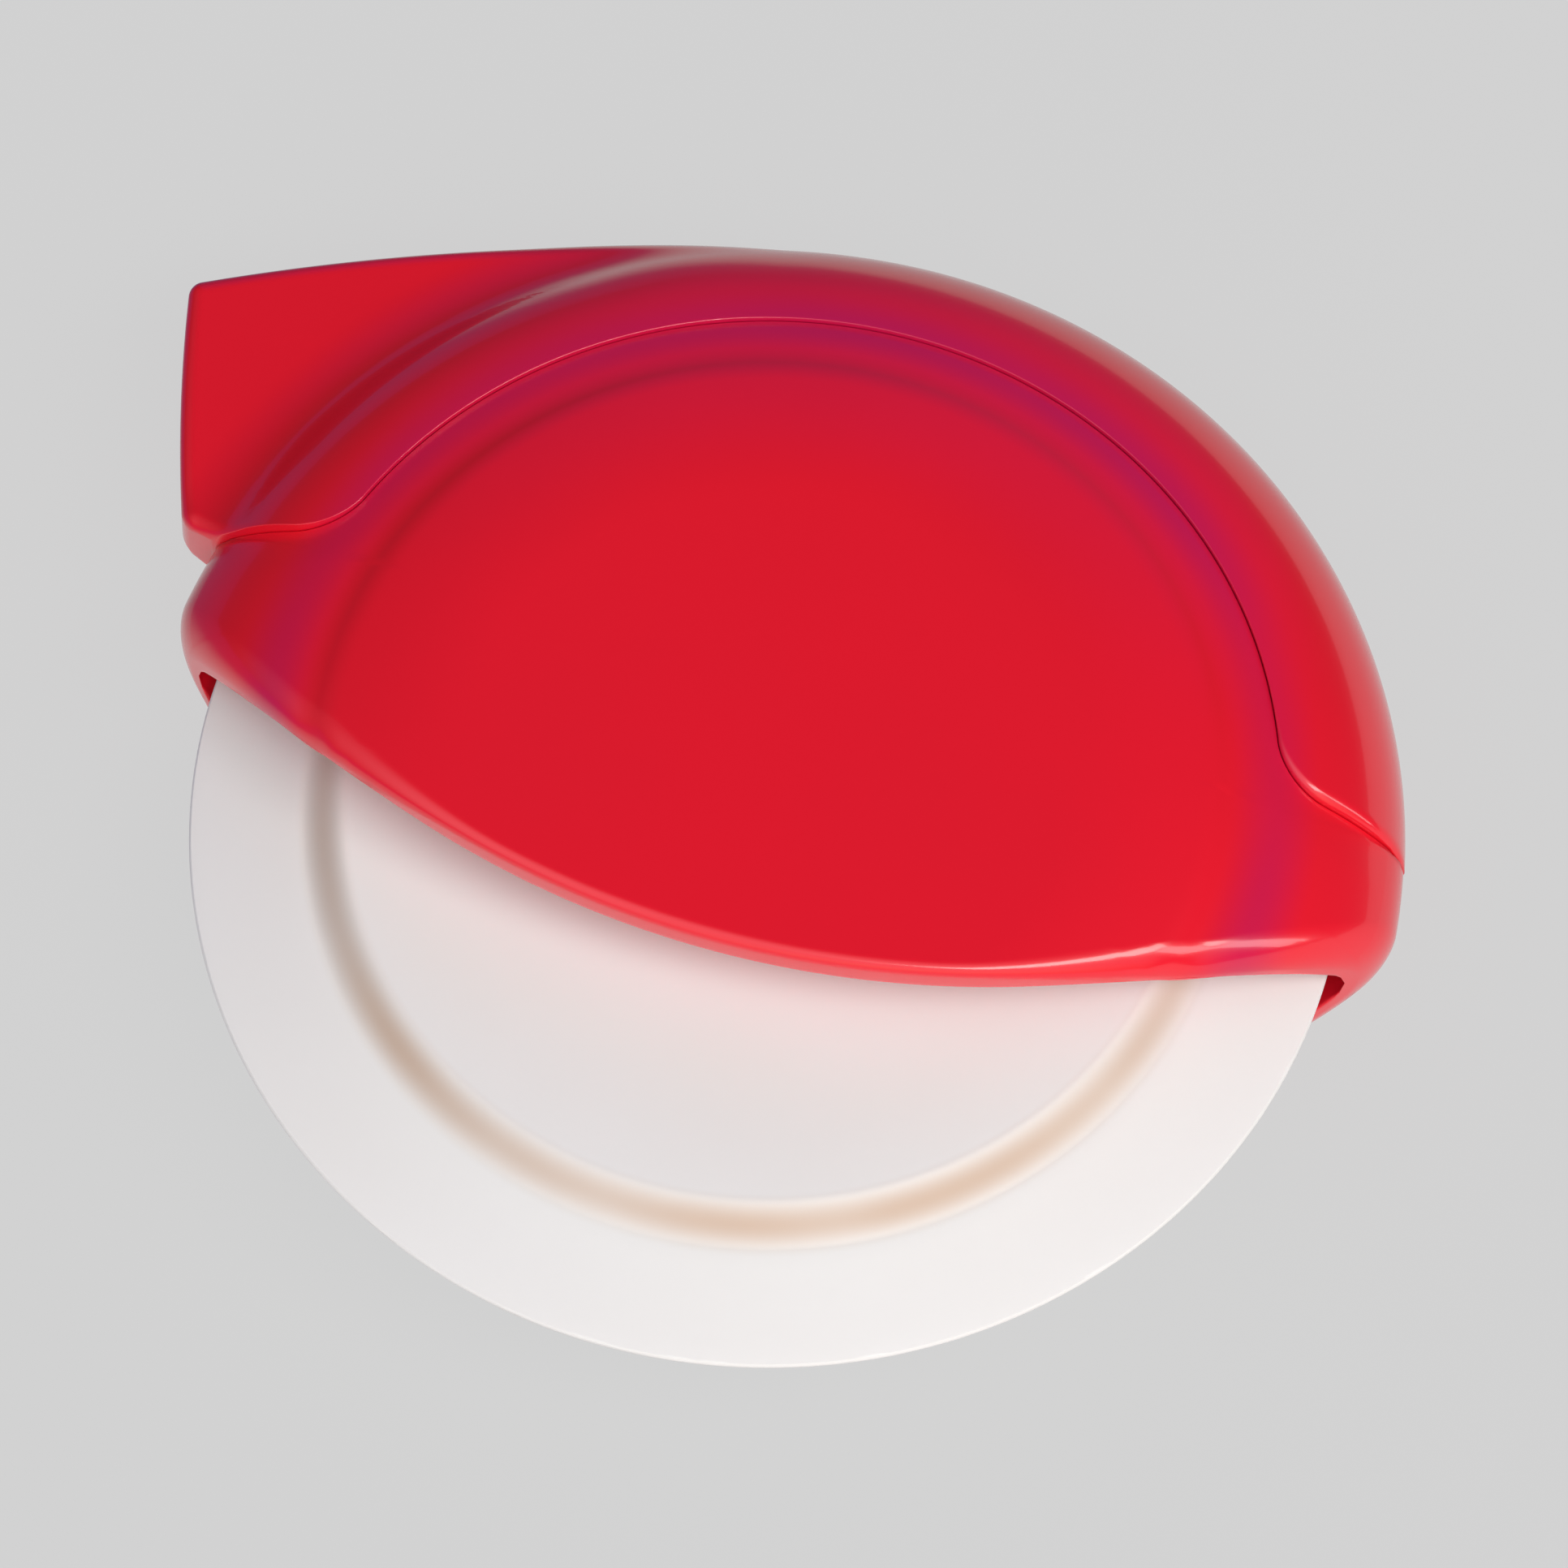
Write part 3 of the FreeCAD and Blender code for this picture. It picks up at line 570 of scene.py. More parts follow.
@dataclass
class GripSaddle:
    """Band over both rims of the hood, with a flat fin at its left."""

    plan: SaddlePlan = field(default_factory=SaddlePlan)
    band: Section = Section(((43.5, 11.85, 14.76), (52.65, 6.73, 10.47), (55.1, 0.0)))
    fin_blend: Section = Section((
        (43.5, 11.85, 14.76), (52.814, 6.530, -9.241), (60.0, 3.1), (90.0, 3.1)))
    seat: Section = Section(((40.7, 10.98, 21.4), (52.3, 3.87, 5.98), (53.75, 0.0)))
    cheek_roll: float = 0.1
    cheek_crease: float = 1.0
    end_face: float = 0.25  # width left at the saddle's two ends
    crease_spans: tuple[float, float] = (26.0, 15.0)  # degrees over which the crease opens
    edge_blend: float = 0.15
    under_band: float = 52.0  # inside this radius the fin's root stays under the band
    near_zone: float = 0.8
    far_zone: float = 9.0
    top_rows: int = 26
    fin_roll: float = 1.4
    fin_from: float = 95.0
    fin_full: float = 125.0

    def make(self, material: Material) -> None:
        """Build the saddle, dress it and put it on the hood."""
        angles = self._angles()
        radius, height = self._half(angles)
        radius = np.vstack([radius, radius[::-1]])
        height = np.vstack([height, -height[::-1]])
        piece = ray_mesh("grip_saddle_skin", radius, height, angles,
                         closed_rows=True, closed_rays=False)
        dress(piece, material)
        place(piece, Body.HOOD, Slot.SADDLE, "grip_saddle")

    def _angles(self) -> Array:
        """Rays over the saddle, closer together at its two ends and at the fin's tip."""
        right = math.degrees(math.asin(self.plan.cheek_end / self.plan.edge))
        left = math.degrees(math.atan2(self.plan.fin_foot[1], self.plan.fin_foot[0]))
        tip = math.degrees(math.atan2(self.plan.fin_tip[1], self.plan.fin_tip[0]))
        ranges = [np.linspace(right, 24.0, 34, endpoint=False), np.arange(24.0, tip - 3.0, 0.6),
                  np.linspace(tip - 3.0, tip + 3.0, 30, endpoint=False),
                  np.arange(tip + 3.0, 157.0, 0.5), np.linspace(157.0, left, 40)]
        return np.radians(np.concatenate(ranges))

    def _half(self, angles: Array) -> tuple[Array, Array]:
        """Radii and heights of the upper half of every section, from the seat's rim to the fin."""
        inner = np.minimum(self.plan.cheek_start(angles), self.plan.edge - self.end_face)
        outer = np.maximum(self.plan.outline(angles), inner)
        seat = self.seat.trace()
        rows: list[tuple[Array, Array]] = []
        seat_end = np.maximum(inner, seat.radius[-1])
        seated = inner < seat.radius[-1]
        for share in np.cos(np.linspace(0.0, 1.0, 12) * QUARTER_TURN):
            radius = blend(inner, seat_end, np.full_like(inner, share))
            rows.append((radius, np.where(seated, seat.height_over(radius), 0.0)))
        width = outer - inner
        near = np.minimum(self.near_zone, 0.25 * width)
        far = np.minimum(self.far_zone, 0.6 * width)
        first = inner + near * (np.linspace(0.0, 1.0, 8) ** 2)[:, None]
        shares = np.linspace(0.0, 1.0, self.top_rows)[:, None]
        middle = (inner + near) + (width - near - far) * shares[1:-1]
        last = outer - far * (1.0 - shares) ** 2
        radius = np.vstack([first, middle, last])
        height = self._top(radius, angles, outer)
        floor = rows[-1][1]
        rows.append((inner, blend(floor, height[0], np.full_like(inner, 0.5))))
        return (np.vstack([np.array([r for r, _ in rows]), radius, outer[None, :]]),
                np.vstack([np.array([h for _, h in rows]), height, height[-1:] * 0.33]))

    def _top(self, radius: Array, angles: Array, outer: Array) -> Array:
        """Height of the saddle's outer surface.

        Args:
            radius: radii of the rows on every ray.
            angles: angle of each ray.
            outer: radius at which each ray leaves the saddle.

        Returns:
            Heights, with the edges rounded.
        """
        band, fin_blend = self.band.trace(), self.fin_blend.trace()
        leaves = self.plan.fin_angle()
        onto_fin = smooth(angles, leaves, leaves + self.edge_blend)
        to_edge = np.maximum(blend(outer - radius, self.plan.fin(radius, angles), onto_fin), 0.0)
        as_band = band.height_over(self.plan.edge - to_edge)
        as_fin = fin_blend.height_over(radius) - rolled(to_edge, self.fin_roll)
        share = smooth(np.degrees(angles), self.fin_from, self.fin_full)
        capped = np.where(radius > self.under_band, as_fin,
                          np.minimum(as_fin, band.height_over(radius)))
        height = blend(as_band, capped, share)
        cheek = np.maximum(self.plan.cheek(radius, angles), 0.0)
        crease = smooth(np.degrees(angles), *self.crease_spans)
        cheek_roll = blend(self.cheek_roll, self.cheek_crease, crease)
        return np.maximum(height - rolled(cheek, cheek_roll), 0.0)


# ---- Turned pieces, made with Geometry Nodes ----

def add_node(tree: Tree, kind: str, settings: dict[str, object] | None = None,
             **inputs: object) -> Node:
    """Add a node to a tree with its settings and links.

    Args:
        tree: tree that the node goes in.
        kind: node type.
        settings: properties of the node itself.
        **inputs: sockets by name, with "_" for a space, or "i" and a number for a socket's place.
            An output socket is linked, and anything else is set as the value.

    Returns:
        The node.
    """
    node = tree.nodes.new(kind)
    for name, value in (settings or {}).items():
        setattr(node, name, value)
    for name, value in inputs.items():
        key = int(name[1:]) if name[0] == "i" and name[1:].isdigit() else name.replace("_", " ")
        socket = node.inputs[key]
        if isinstance(value, Socket):
            tree.links.new(value, socket)
        else:
            socket.default_value = value
    return node


def calc(tree: Tree, operation: str, *values: object, kind: str = "", out: int = 0) -> Socket:
    """Add a sum to a tree: its operation, its terms and, for vectors, the kind "Vector"."""
    terms = {f"i{at}": value for at, value in enumerate(values)}
    return add_node(tree, f"ShaderNode{kind}Math", {"operation": operation}, **terms).outputs[out]


def ranged(tree: Tree, value: Socket, low: float, high: float, to_low: float = 0.0,
           to_high: float = 1.0, eased: bool = False) -> Socket:
    """Add a node that maps the range from low to high onto another one, and clamps it."""
    return add_node(tree, "ShaderNodeMapRange",
                    {"interpolation_type": "SMOOTHSTEP" if eased else "LINEAR"}, Value=value,
                    From_Min=low, From_Max=high, To_Min=to_low, To_Max=to_high).outputs[0]


class LatheTree:
    """Geometry Nodes tree that turns a section about the wheel's axis and adds ribs across it."""

    def __init__(self) -> None:
        """Build the tree once; every turned piece shares it."""
        self.tree = bpy.data.node_groups.new("lathe_with_ribs", "GeometryNodeTree")
        face = self.tree.interface
        face.new_socket("Section", in_out="INPUT", socket_type="NodeSocketGeometry")
        self.inputs: dict[str, str] = {}
        for name, kind in (("Turns", "NodeSocketInt"), ("Corners", "NodeSocketInt"),
                           ("Ribs", "NodeSocketInt"), ("Rib size", "NodeSocketVector"),
                           ("Rib place", "NodeSocketVector"), ("Finish", "NodeSocketMaterial")):
            socket = face.new_socket(name, in_out="INPUT", socket_type=kind)
            self.inputs[name] = socket.identifier
        face.new_socket("Turned", in_out="OUTPUT", socket_type="NodeSocketGeometry")
        self._fill()

    def _fill(self) -> None:
        """Add the nodes: a grid bent round the axis by its index, and instanced ribs."""
        tree = self.tree
        source = add_node(tree, "NodeGroupInput").outputs
        grid = add_node(tree, "GeometryNodeMeshGrid",
                        Vertices_X=calc(tree, "ADD", source["Turns"], 1.0),
                        Vertices_Y=source["Corners"])
        index = add_node(tree, "GeometryNodeInputIndex").outputs[0]
        ray = calc(tree, "FLOOR", calc(tree, "DIVIDE", index, source["Corners"]))
        corner = calc(tree, "MODULO", index, source["Corners"])
        place_at = add_node(tree, "GeometryNodeInputPosition")
        sample = add_node(tree, "GeometryNodeSampleIndex",
                          {"data_type": "FLOAT_VECTOR", "domain": "POINT"},
                          Geometry=source["Section"], Index=corner)
        tree.links.new(place_at.outputs[0], sample.inputs["Value"])
        turn = calc(tree, "MULTIPLY", calc(tree, "DIVIDE", ray, source["Turns"]), math.tau)
        spin = add_node(tree, "ShaderNodeVectorRotate", {"rotation_type": "Z_AXIS"},
                        Vector=sample.outputs[0], Angle=turn)
        bent = add_node(tree, "GeometryNodeSetPosition", Geometry=grid.outputs["Mesh"],
                        Position=spin.outputs[0])

        rib = add_node(tree, "GeometryNodeMeshCube", Size=source["Rib size"])
        rib = add_node(tree, "GeometryNodeTransform", Geometry=rib.outputs[0],
                       Translation=source["Rib place"])
        points = add_node(tree, "GeometryNodePoints", Count=source["Ribs"])
        each = calc(tree, "MULTIPLY", calc(tree, "DIVIDE", index, source["Ribs"]), math.tau)
        facing = add_node(tree, "ShaderNodeCombineXYZ", Z=each)
        spokes = add_node(tree, "GeometryNodeInstanceOnPoints", Points=points.outputs[0],
                          Instance=rib.outputs[0], Rotation=facing.outputs[0])
        join = add_node(tree, "GeometryNodeJoinGeometry")
        tree.links.new(spokes.outputs[0], join.inputs[0])
        tree.links.new(bent.outputs[0], join.inputs[0])
        real = add_node(tree, "GeometryNodeRealizeInstances", Geometry=join.outputs[0])
        finish = add_node(tree, "GeometryNodeSetMaterial", Geometry=real.outputs[0],
                          Material=source["Finish"])
        out = add_node(tree, "NodeGroupOutput")
        tree.links.new(finish.outputs[0], out.inputs[0])

    def turn(self, name: str, section: Sequence[tuple[float, float]],
             material: Material, turns: int = 240, ribs: int = 0,
             rib_size: Sequence[float] = (1.0, 1.0, 1.0),
             rib_place: Sequence[float] = (0.0, 0.0, 0.0)) -> Object:
        """Turn one piece and make it a plain mesh.

        Args:
            name: name of the piece.
            section: closed section as (radius, height from the middle plane).
            material: finish of the piece.
            turns: rays round the axis.
            ribs: number of ribs.
            rib_size: size of a rib, radial, across and along the axis.
            rib_place: centre of the first rib, with its height from the middle plane.

        Returns:
            The finished object.
        """
        loop = [*section, section[0]]
        mesh = bpy.data.meshes.new(name)
        mesh.from_pydata([(r * MM, 0.0, (MIDDLE + h) * MM) for r, h in loop], [], [])
        piece = bpy.data.objects.new(name, mesh)
        bpy.context.scene.collection.objects.link(piece)
        lathe = piece.modifiers.new("lathe", "NODES")
        lathe.node_group = self.tree
        centre = Vector(rib_place) + Vector((0.0, 0.0, MIDDLE))
        values = {"Turns": turns, "Corners": len(loop), "Ribs": ribs,
                  "Rib size": Vector(rib_size) * MM, "Rib place": centre * MM,
                  "Finish": material}
        for label, value in values.items():
            lathe[self.inputs[label]] = value
        depsgraph = bpy.context.evaluated_depsgraph_get()
        solid = bpy.data.meshes.new_from_object(piece.evaluated_get(depsgraph))
        piece.modifiers.remove(lathe)
        piece.data = solid
        bpy.data.meshes.remove(mesh)
        solid.name = name
        return tidy(piece, sharp=30.0)


@dataclass
class CuttingWheel:
    """Plastic wheel: a thin bevelled rim, a soft step and a raised disc, hollow behind."""

    edge_radius: float = 50.0
    edge_half: float = 0.35
    foot_radius: float = 40.4
    foot_half: float = 2.4
    disc_radius: float = 36.4
    disc_half: float = 5.0
    bush_radius: float = 8.0
    hub_radius: float = 11.0
    hollow_radius: float = 33.4
    back_seat: float = 35.2
    back_inset: float = 2.8
    web_half: float = 2.6
    rib_thickness: float = 1.6
    rib_count: int = 6

    def make(self, lathe: LatheTree, material: Material) -> None:
        """Turn the wheel, dress it and put it on its body."""
        length = self.hollow_radius - self.hub_radius + 0.6
        tall = self.back_inset + self.web_half
        piece = lathe.turn(
            "rolling_wheel", self._section(), material, turns=300, ribs=self.rib_count,
            rib_size=(length, self.rib_thickness, tall + 0.1),
            rib_place=((self.hollow_radius + self.hub_radius) / 2, 0.0,
                       (self.web_half - self.back_inset) / 2 + 0.05))
        place(piece, Body.WHEEL, Slot.WHEEL, "cutting_wheel")

    def _face(self) -> list[tuple[float, float]]:
        """Half-section of one face, from the raised disc out to the cutting edge."""
        step = np.linspace(0.0, 1.0, 25)
        radii = blend(self.disc_radius, self.foot_radius, step)
        heights = blend(self.disc_half, self.foot_half, smooth(step, 0.0, 1.0))
        bevel = np.linspace(0.0, 1.0, 8)[1:]
        rim = self.edge_radius - self.edge_half
        radii = np.concatenate([radii, blend(self.foot_radius, rim, bevel)])
        heights = np.concatenate([heights, blend(self.foot_half, self.edge_half, bevel)])
        return list(zip(radii.tolist(), heights.tolist()))

    def _section(self) -> list[tuple[float, float]]:
        """Closed section of the moulding."""
        front = self._face()
        edge = [(self.edge_radius - self.edge_half * (1 - math.cos(a)),
                 self.edge_half * math.sin(a)) for a in np.radians([60, 30, 0, -30, -60])]
        back = [(r, -h) for r, h in reversed(front)]
        hub = [
            (self.back_seat, -self.disc_half), (self.back_seat, -self.back_inset),
            (self.hollow_radius, -self.back_inset), (self.hollow_radius, self.web_half),
            (self.hub_radius, self.web_half), (self.hub_radius, -self.back_inset),
            (self.bush_radius, -self.back_inset), (self.bush_radius, self.disc_half),
            (20.0, self.disc_half), (30.0, self.disc_half),
        ]
        return front + edge + back + hub


@dataclass
class ScrewCap:
    """Push-in cap over the axle screw, with a softened edge and a shallow dish."""

    radius: float = 4.32
    inner: float = 13.0
    face: float = 15.0
    edge: float = 0.25

    def make(self, lathe: LatheTree, material: Material) -> None:
        """Turn the cap, dress it and put it in the back shell."""
        corner = [(self.radius - self.edge + self.edge * math.cos(a),
                   -(self.face - self.edge) + self.edge * math.sin(a))
                  for a in np.radians(np.linspace(-90.0, 0.0, 5))]
        section = [(0.0, -(self.face - 0.15)), (2.6, -(self.face - 0.12)), (3.2, -self.face),
                   *corner, (self.radius, -self.inner), (0.0, -self.inner)]
        piece = lathe.turn("screw_cap_button", section, material, turns=72)
        place(piece, Body.HOOD, Slot.SADDLE, "screw_cap")


# ---- Finishes ----

@dataclass(frozen=True)
class Finish:
    """A material: a colour that drifts a little, a mottled gloss, a fine relief and, if given, a
    ring of painted shade.
    """

    name: str
    colour: str
    drift: str
    roughness: tuple[float, float]
    metallic: float = 0.0
    ior: float = 1.5
    coat: float = 0.0
    coat_roughness: float = 0.03
    scatter: float = 0.0
    scatter_depth: float = 1.0
    drift_size: float = 18.0
    relief_size: float = 1.2
    relief: float = 0.01
    scuffs: float = 0.0
    # colour of a ring of painted shade round the axis; empty for none
    painted_ring_tint: str = ""
    ring_radius: float = 38.4
    ring_width: float = 2.5
    ring_patches: float = 30.0
    scuff_size: float = 9.0

    def build(self) -> Material:
        """Make the node material."""
        material = bpy.data.materials.new(self.name)
        material.use_nodes = True
        tree = material.node_tree
        tree.nodes.clear()
        place_at = add_node(tree, "ShaderNodeTexCoord").outputs["Object"]
        patches = add_node(tree, "ShaderNodeTexNoise", Vector=place_at,
                           Scale=1.0 / (self.drift_size * MM), Detail=3.0, Roughness=0.55)
        colour = add_node(tree, "ShaderNodeMix", {"data_type": "RGBA"},
                          i0=patches.outputs[0], i6=linear(self.colour), i7=linear(self.drift))
        # A ring of painted shade, which on the red also stands for a painted violet reflection.
        if self.painted_ring_tint:
            colour = self._paint_shade_ring(tree, place_at, colour.outputs[2])
        rough = ranged(tree, patches.outputs[0], 0.3, 0.7, *self.roughness)
        grain = add_node(tree, "ShaderNodeTexNoise", Vector=place_at,
                         Scale=1.0 / (self.relief_size * MM), Detail=2.0, Roughness=0.5)
        bump = add_node(tree, "ShaderNodeBump", Strength=1.0, Distance=self.relief * MM,
                        Height=grain.outputs[0])
        normal = bump.outputs[0]
        if self.scuffs:
            rough, normal = self._scuffed(tree, place_at, rough, normal)
        shader = add_node(
            tree, "ShaderNodeBsdfPrincipled", Base_Color=colour.outputs[2], Roughness=rough,
            Metallic=self.metallic, Normal=normal, Coat_Weight=self.coat,
            Coat_Roughness=self.coat_roughness, Subsurface_Weight=self.scatter,
            Subsurface_Scale=self.scatter_depth * MM)
        if not self.metallic:
            shader.inputs["IOR"].default_value = self.ior
        shader.inputs["Subsurface Radius"].default_value = linear(self.colour)[:3]
        add_node(tree, "ShaderNodeOutputMaterial", Surface=shader.outputs[0])
        return material

    def _paint_shade_ring(self, tree: Tree, place_at: Socket, clean: Socket) -> Node:
        """Paint shade into the colour along a ring round the axis, unevenly, where the moulding
        steps; on the red it also stands for a painted violet reflection.

        Args:
            tree: the material's tree.
            place_at: object coordinates.
            clean: colour without the painted shade.

        Returns:
            The mixing node.
        """
        flat = calc(tree, "MULTIPLY", place_at, (1.0, 1.0, 0.0), kind="Vector")
        radius = calc(tree, "LENGTH", flat, kind="Vector", out=1)
        off = calc(tree, "ABSOLUTE", calc(tree, "SUBTRACT", radius, self.ring_radius * MM))
        ring = ranged(tree, off, self.ring_width * MM, 0.0, eased=True)
        patchy = add_node(tree, "ShaderNodeTexNoise", Vector=place_at,
                          Scale=1.0 / (self.ring_patches * MM), Detail=2.0)
        share = calc(tree, "MULTIPLY", ring, ranged(tree, patchy.outputs[0], 0.3, 0.7, 0.5))
        return add_node(tree, "ShaderNodeMix", {"data_type": "RGBA"}, i0=share, i6=clean,
                        i7=linear(self.painted_ring_tint))

    def _scuffed(self, tree: Tree, place_at: Socket, rough: Socket,
                 normal: Socket) -> tuple[Socket, Socket]:
        """Add fine handling marks: short stretched streaks that dull and dent the surface."""
        stretched = add_node(tree, "ShaderNodeMapping", Vector=place_at,
                             Rotation=(0.3, 0.2, 0.6), Scale=(1.0, 9.0, 3.0))
        streaks = add_node(tree, "ShaderNodeTexNoise", Vector=stretched.outputs[0],
                           Scale=1.0 / (self.scuff_size * MM), Detail=4.0, Roughness=0.65)
        marks = ranged(tree, streaks.outputs[0], 0.62, 0.72)
        dulled = calc(tree, "MULTIPLY_ADD", marks, self.scuffs, rough)
        dents = add_node(tree, "ShaderNodeBump", {"invert": True}, Strength=1.0,
                         Distance=0.002 * MM, Height=marks, Normal=normal)
        return dulled, dents.outputs[0]


# High-gloss injection-moulded ABS: a deep saturated red with a mirror-like skin over it, the faint
# waviness of a polished tool and a painted violet shade and reflection in a ring round the foot of
# the dome.
GLOSSY_ABS = Finish("abs_gloss_red", "#F2182E", "#EA152B", (0.2, 0.26), ior=1.5, coat=0.5,
                    coat_roughness=0.05, drift_size=22.0, relief_size=2.4, relief=0.008,
                    painted_ring_tint="#CC1650", ring_radius=43.6, ring_width=4.2)
# Satin moulded nylon: a near white that lets a little light in, so its edges look soft, with a
# painted tan shade in the step round the disc.
SATIN_NYLON = Finish("nylon_satin_white", "#F3F2F2", "#EEECEA", (0.42, 0.5), ior=1.53,
                     scatter=0.12, scatter_depth=1.2, drift_size=25.0, relief_size=0.5,
                     relief=0.006, scuffs=0.05, painted_ring_tint="#D0B6A2")
# Natural acetal, turned: bone white, slightly waxy.
TURNED_ACETAL = Finish("acetal_natural", "#E4E0D4", "#DAD5C8", (0.34, 0.42), ior=1.48,
                       scatter=0.1, drift_size=6.0, relief_size=0.4, relief=0.008)
# Turned stainless steel: bright with the dull rings of the lathe.
TURNED_STEEL = Finish("stainless_turned", "#B9BBBE", "#A6A8AC", (0.22, 0.34), metallic=1.0,
                      drift_size=3.0, relief_size=0.3, relief=0.006)
# Turned brass: yellow, a little tarnished.
TURNED_BRASS = Finish("brass_turned", "#C9A15A", "#B08A48", (0.28, 0.42), metallic=1.0,
                      drift_size=3.0, relief_size=0.3, relief=0.006)


@dataclass
class AxleGroup:
    """Bearing, washers, sleeve and screw, which keep their own meshes."""

    acetal: tuple[str, ...] = ("hub_bush", "front_thrust_washer", "back_thrust_washer")
    steel: tuple[str, ...] = ("axle_sleeve", "axle_screw", "spring_washer")
    brass: tuple[str, ...] = ("threaded_insert",)

    def make(self, nodes: dict[str, Object]) -> None:
        """Dress the carried-over nodes."""
        for names, finish in ((self.acetal, TURNED_ACETAL), (self.steel, TURNED_STEEL),
                              (self.brass, TURNED_BRASS)):
            material = finish.build()
            for name in names:
                dress(nodes[name], material)
                LOG.info("%s dressed with %s", name, finish.name)


# ---- Studio ----

@dataclass(frozen=True)
class SoftBox:
    """A soft lamp: where it hangs, what it faces, its size, power and colour."""

    name: str
    place: tuple[float, float, float]
    size: tuple[float, float]
    power: float
    colour: str = "#FFFFFF"
    aim: tuple[float, float, float] = (0.0, 0.005, 0.015)

    def hang(self) -> None:
        """Add the lamp to the scene."""
        data = bpy.data.lights.new(self.name, "AREA")
        data.shape = "RECTANGLE"
        data.size, data.size_y = self.size
        data.energy = self.power
        data.color = linear(self.colour)[:3]
        lamp = bpy.data.objects.new(self.name, data)
        lamp.location = self.place
        lamp.rotation_euler = (Vector(self.aim) - Vector(self.place)).to_track_quat(
            "-Z", "Y").to_euler()
        bpy.context.scene.collection.objects.link(lamp)


@dataclass(frozen=True)
class Glow:
    """A soft patch of the surroundings: where it is, how wide, how bright and its colour.

    The azimuth runs from +X towards +Y, and the spread is the angle at which the patch ends.
    """

    azimuth: float
    elevation: float
    spread: float
    strength: float
    colour: str = "#FFFFFF"

    def shine(self, tree: Tree, look: Socket, below: Socket) -> Socket:
        """Add the patch to the light of the patches before it."""
        turn, tilt = math.radians(self.azimuth), math.radians(self.elevation)
        centre = (math.cos(turn) * math.cos(tilt), math.sin(turn) * math.cos(tilt),
                  math.sin(tilt))
        near = calc(tree, "DOT_PRODUCT", look, centre, kind="Vector", out=1)
        share = ranged(tree, near, math.cos(math.radians(self.spread)), 1.0, 0.0, self.strength,
                       eased=True)
        light = add_node(tree, "ShaderNodeVectorMath", {"operation": "SCALE"},
                         i0=linear(self.colour)[:3], Scale=share)
        return calc(tree, "ADD", below, light.outputs[0], kind="Vector")


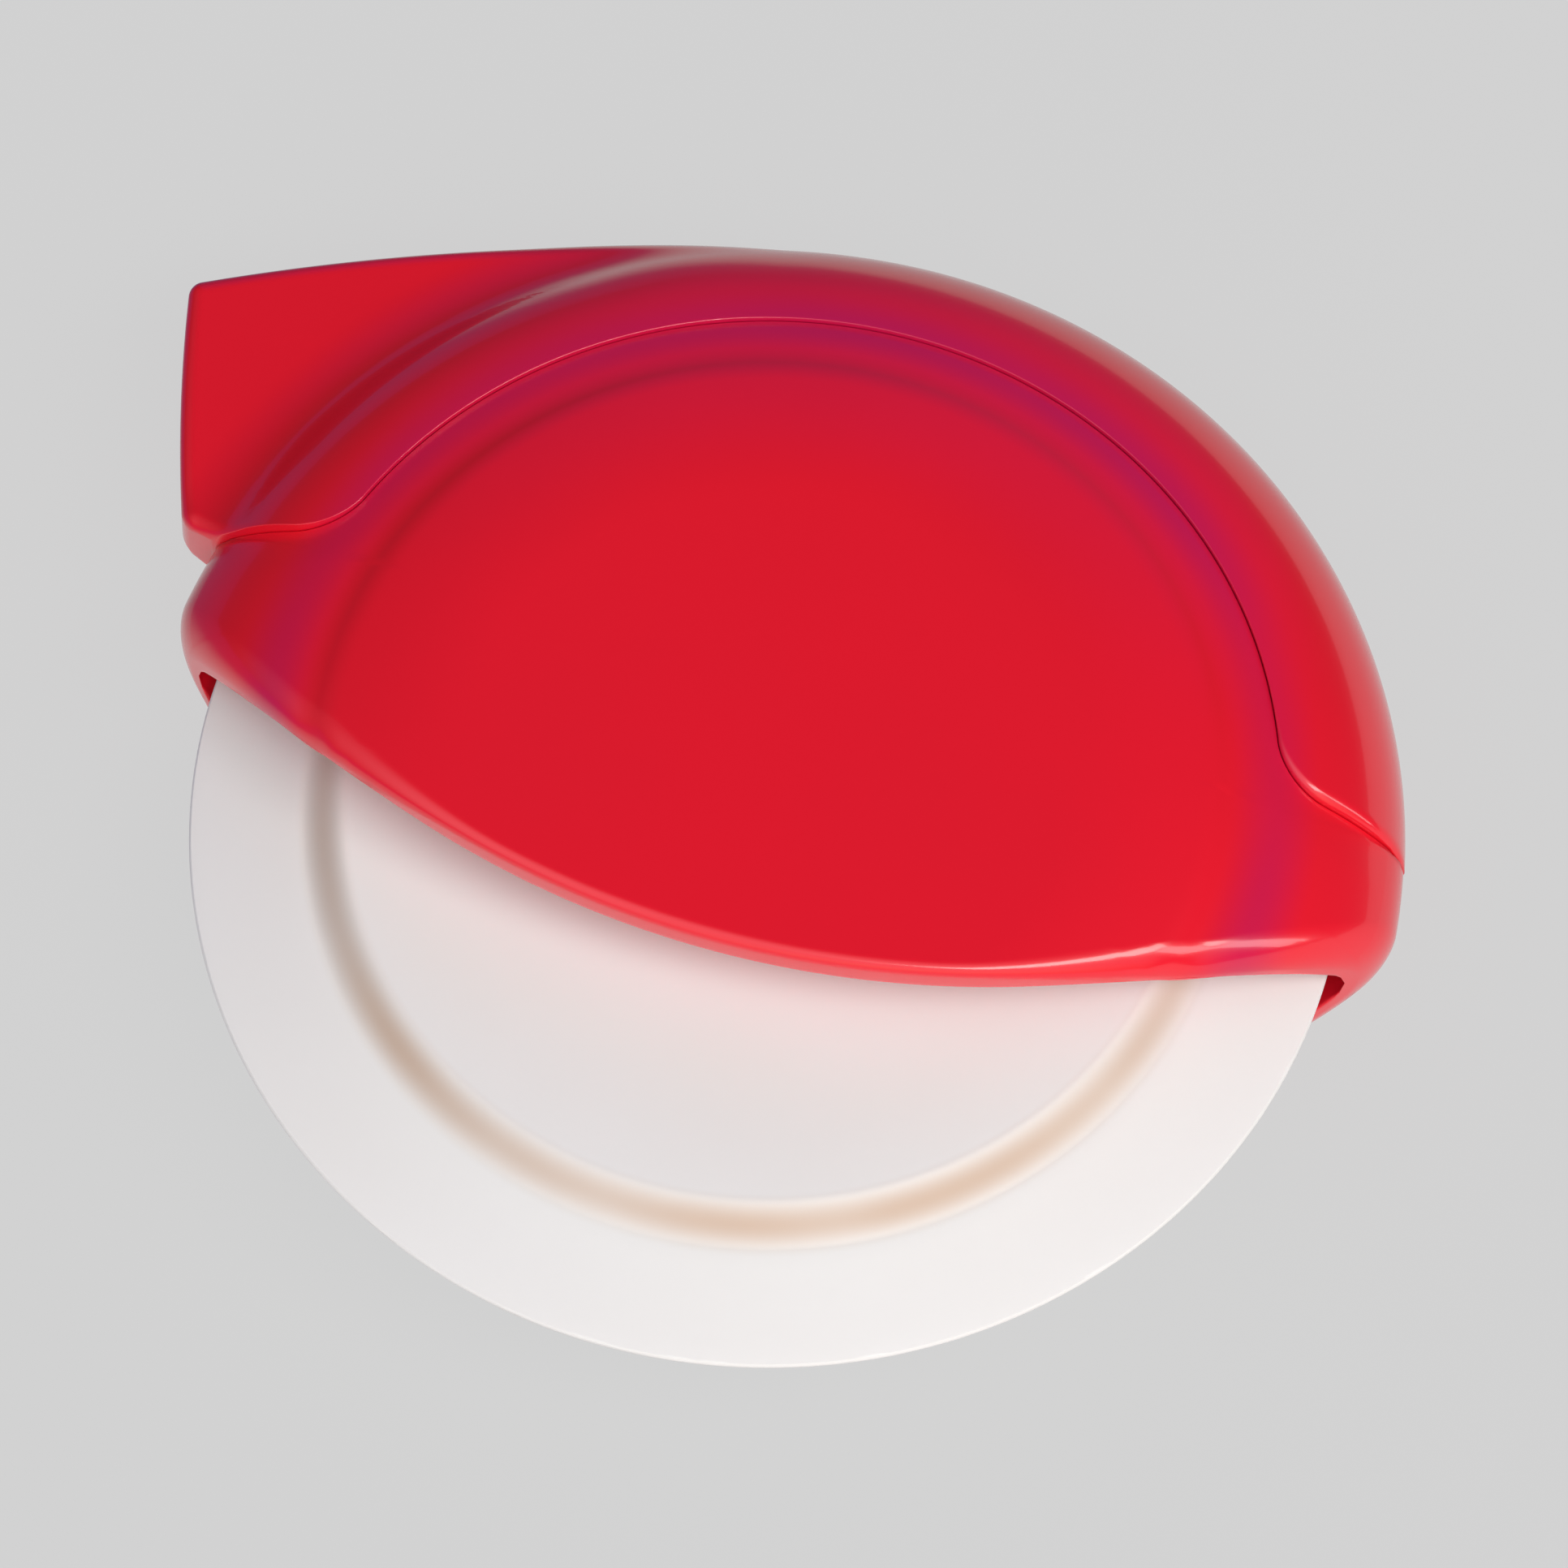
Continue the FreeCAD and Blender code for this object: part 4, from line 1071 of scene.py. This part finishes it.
@dataclass
class Studio:
    """Pale floor, soft light and the camera."""

    azimuth: float = 15.8
    elevation: float = 65.2
    roll: float = 0.6
    distance: float = 1500.0
    lens: float = 398.0
    target: tuple[float, float, float] = (0.0, 5.0, 15.0)
    paper_matt: str = "#3C3C3C"
    paper_tone: str = "#D2D2D2"
    paper_glow: float = 0.94
    dark_tone: str = "#6A4A8C"
    dark_side: tuple[float, float, float] = (-0.94, 0.34, 0.0)
    dark_from: tuple[float, float] = (60.0, 105.0)
    air: str = "#FFFFFF"
    air_strength: float = 0.05
    lamps: tuple[SoftBox, ...] = (
        SoftBox("key_right", (0.385, -0.27, 0.79), (0.74, 0.24), 4.0, "#FFFCF8"),
        SoftBox("strip_right", (0.78, -0.165, 0.42), (0.2, 0.62), 1.6, "#FFFFFF"),
    )
    glows: tuple[Glow, ...] = (
        Glow(-90.0, 45.0, 65.0, 0.92, "#F8FCFF"),
        Glow(95.0, 24.0, 40.0, 0.3, "#7A58FF"),
        Glow(-150.0, 35.0, 50.0, 0.2, "#F4F2FF"),
        Glow(-70.0, 8.0, 36.0, 0.5, "#FFB040"),
    )

    def make(self) -> None:
        """Set the floor, the lamps, the surroundings and the camera."""
        self._floor()
        for lamp in self.lamps:
            lamp.hang()
        self._surroundings()
        self._camera()
        bpy.context.scene.view_settings.view_transform = "Standard"

    def _floor(self) -> None:
        """Pale floor that glows, so that shadows on it stay faint.

        Towards its dark side it looks violet in reflections, but not to the camera.
        """
        bm = bmesh.new()
        bmesh.ops.create_grid(bm, x_segments=1, y_segments=1, size=4.0)
        mesh = bpy.data.meshes.new("studio_floor")
        bm.to_mesh(mesh)
        bm.free()
        floor = bpy.data.objects.new("studio_floor", mesh)
        bpy.context.scene.collection.objects.link(floor)
        material = bpy.data.materials.new("floor_pale_paper")
        material.use_nodes = True
        tree = material.node_tree
        tree.nodes.clear()
        matt = add_node(tree, "ShaderNodeBsdfDiffuse", Color=linear(self.paper_matt))
        away = calc(tree, "DOT_PRODUCT", add_node(tree, "ShaderNodeTexCoord").outputs["Object"],
                    self.dark_side, kind="Vector", out=1)
        lit = ranged(tree, away, self.dark_from[1] * MM, self.dark_from[0] * MM, eased=True)
        seen = calc(tree, "MAXIMUM", lit,
                    add_node(tree, "ShaderNodeLightPath").outputs["Is Camera Ray"])
        tone = add_node(tree, "ShaderNodeMix", {"data_type": "RGBA"}, i0=seen,
                        i6=linear(self.dark_tone), i7=linear(self.paper_tone))
        glow = add_node(tree, "ShaderNodeEmission", Color=tone.outputs[2],
                        Strength=self.paper_glow)
        both = add_node(tree, "ShaderNodeAddShader", i0=matt.outputs[0], i1=glow.outputs[0])
        add_node(tree, "ShaderNodeOutputMaterial", Surface=both.outputs[0])
        dress(floor, material)

    def _surroundings(self) -> None:
        """Dark air with soft patches of light in it."""
        world = bpy.data.worlds.new("studio_air")
        world.use_nodes = True
        tree = world.node_tree
        tree.nodes.clear()
        look = add_node(tree, "ShaderNodeTexCoord").outputs["Generated"]
        air = add_node(tree, "ShaderNodeVectorMath", {"operation": "SCALE"},
                       i0=linear(self.air)[:3], Scale=self.air_strength)
        light = air.outputs[0]
        for glow in self.glows:
            light = glow.shine(tree, look, light)
        sky = add_node(tree, "ShaderNodeBackground", Color=light)
        add_node(tree, "ShaderNodeOutputWorld", Surface=sky.outputs[0])
        bpy.context.scene.world = world

    def _camera(self) -> None:
        """Long lens that looks down on the front dome."""
        data = bpy.data.cameras.new("portrait")
        data.lens, data.sensor_width = self.lens, 36.0
        data.clip_start, data.clip_end = 0.01, 20.0
        camera = bpy.data.objects.new("portrait", data)
        turn, tilt = math.radians(self.azimuth), math.radians(self.elevation)
        back = Vector((math.sin(turn) * math.cos(tilt), -math.cos(turn) * math.cos(tilt),
                       math.sin(tilt)))
        camera.location = (Vector(self.target) + back * self.distance) * MM
        camera.rotation_mode = "QUATERNION"
        facing = (-back).to_track_quat("-Z", "Y")
        camera.rotation_quaternion = facing @ Quaternion((0.0, 0.0, 1.0),
                                                         math.radians(self.roll))
        bpy.context.scene.collection.objects.link(camera)
        bpy.context.scene.camera = camera


def main() -> None:
    """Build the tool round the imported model."""
    logging.basicConfig(level=logging.INFO, format="%(name)s: %(message)s")
    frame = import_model()
    Studio().make()
    red, white = GLOSSY_ABS.build(), SATIN_NYLON.build()
    lathe = LatheTree()
    HoodShell(Side.FRONT).make(red)
    HoodShell(Side.BACK).make(red)
    GripSaddle().make(red)
    CuttingWheel().make(lathe, white)
    ScrewCap().make(lathe, red)
    AxleGroup().make(frame["nodes"])
    dress(frame["nodes"]["wheel_back_disc"], white)


if __name__ == "__main__":
    main()
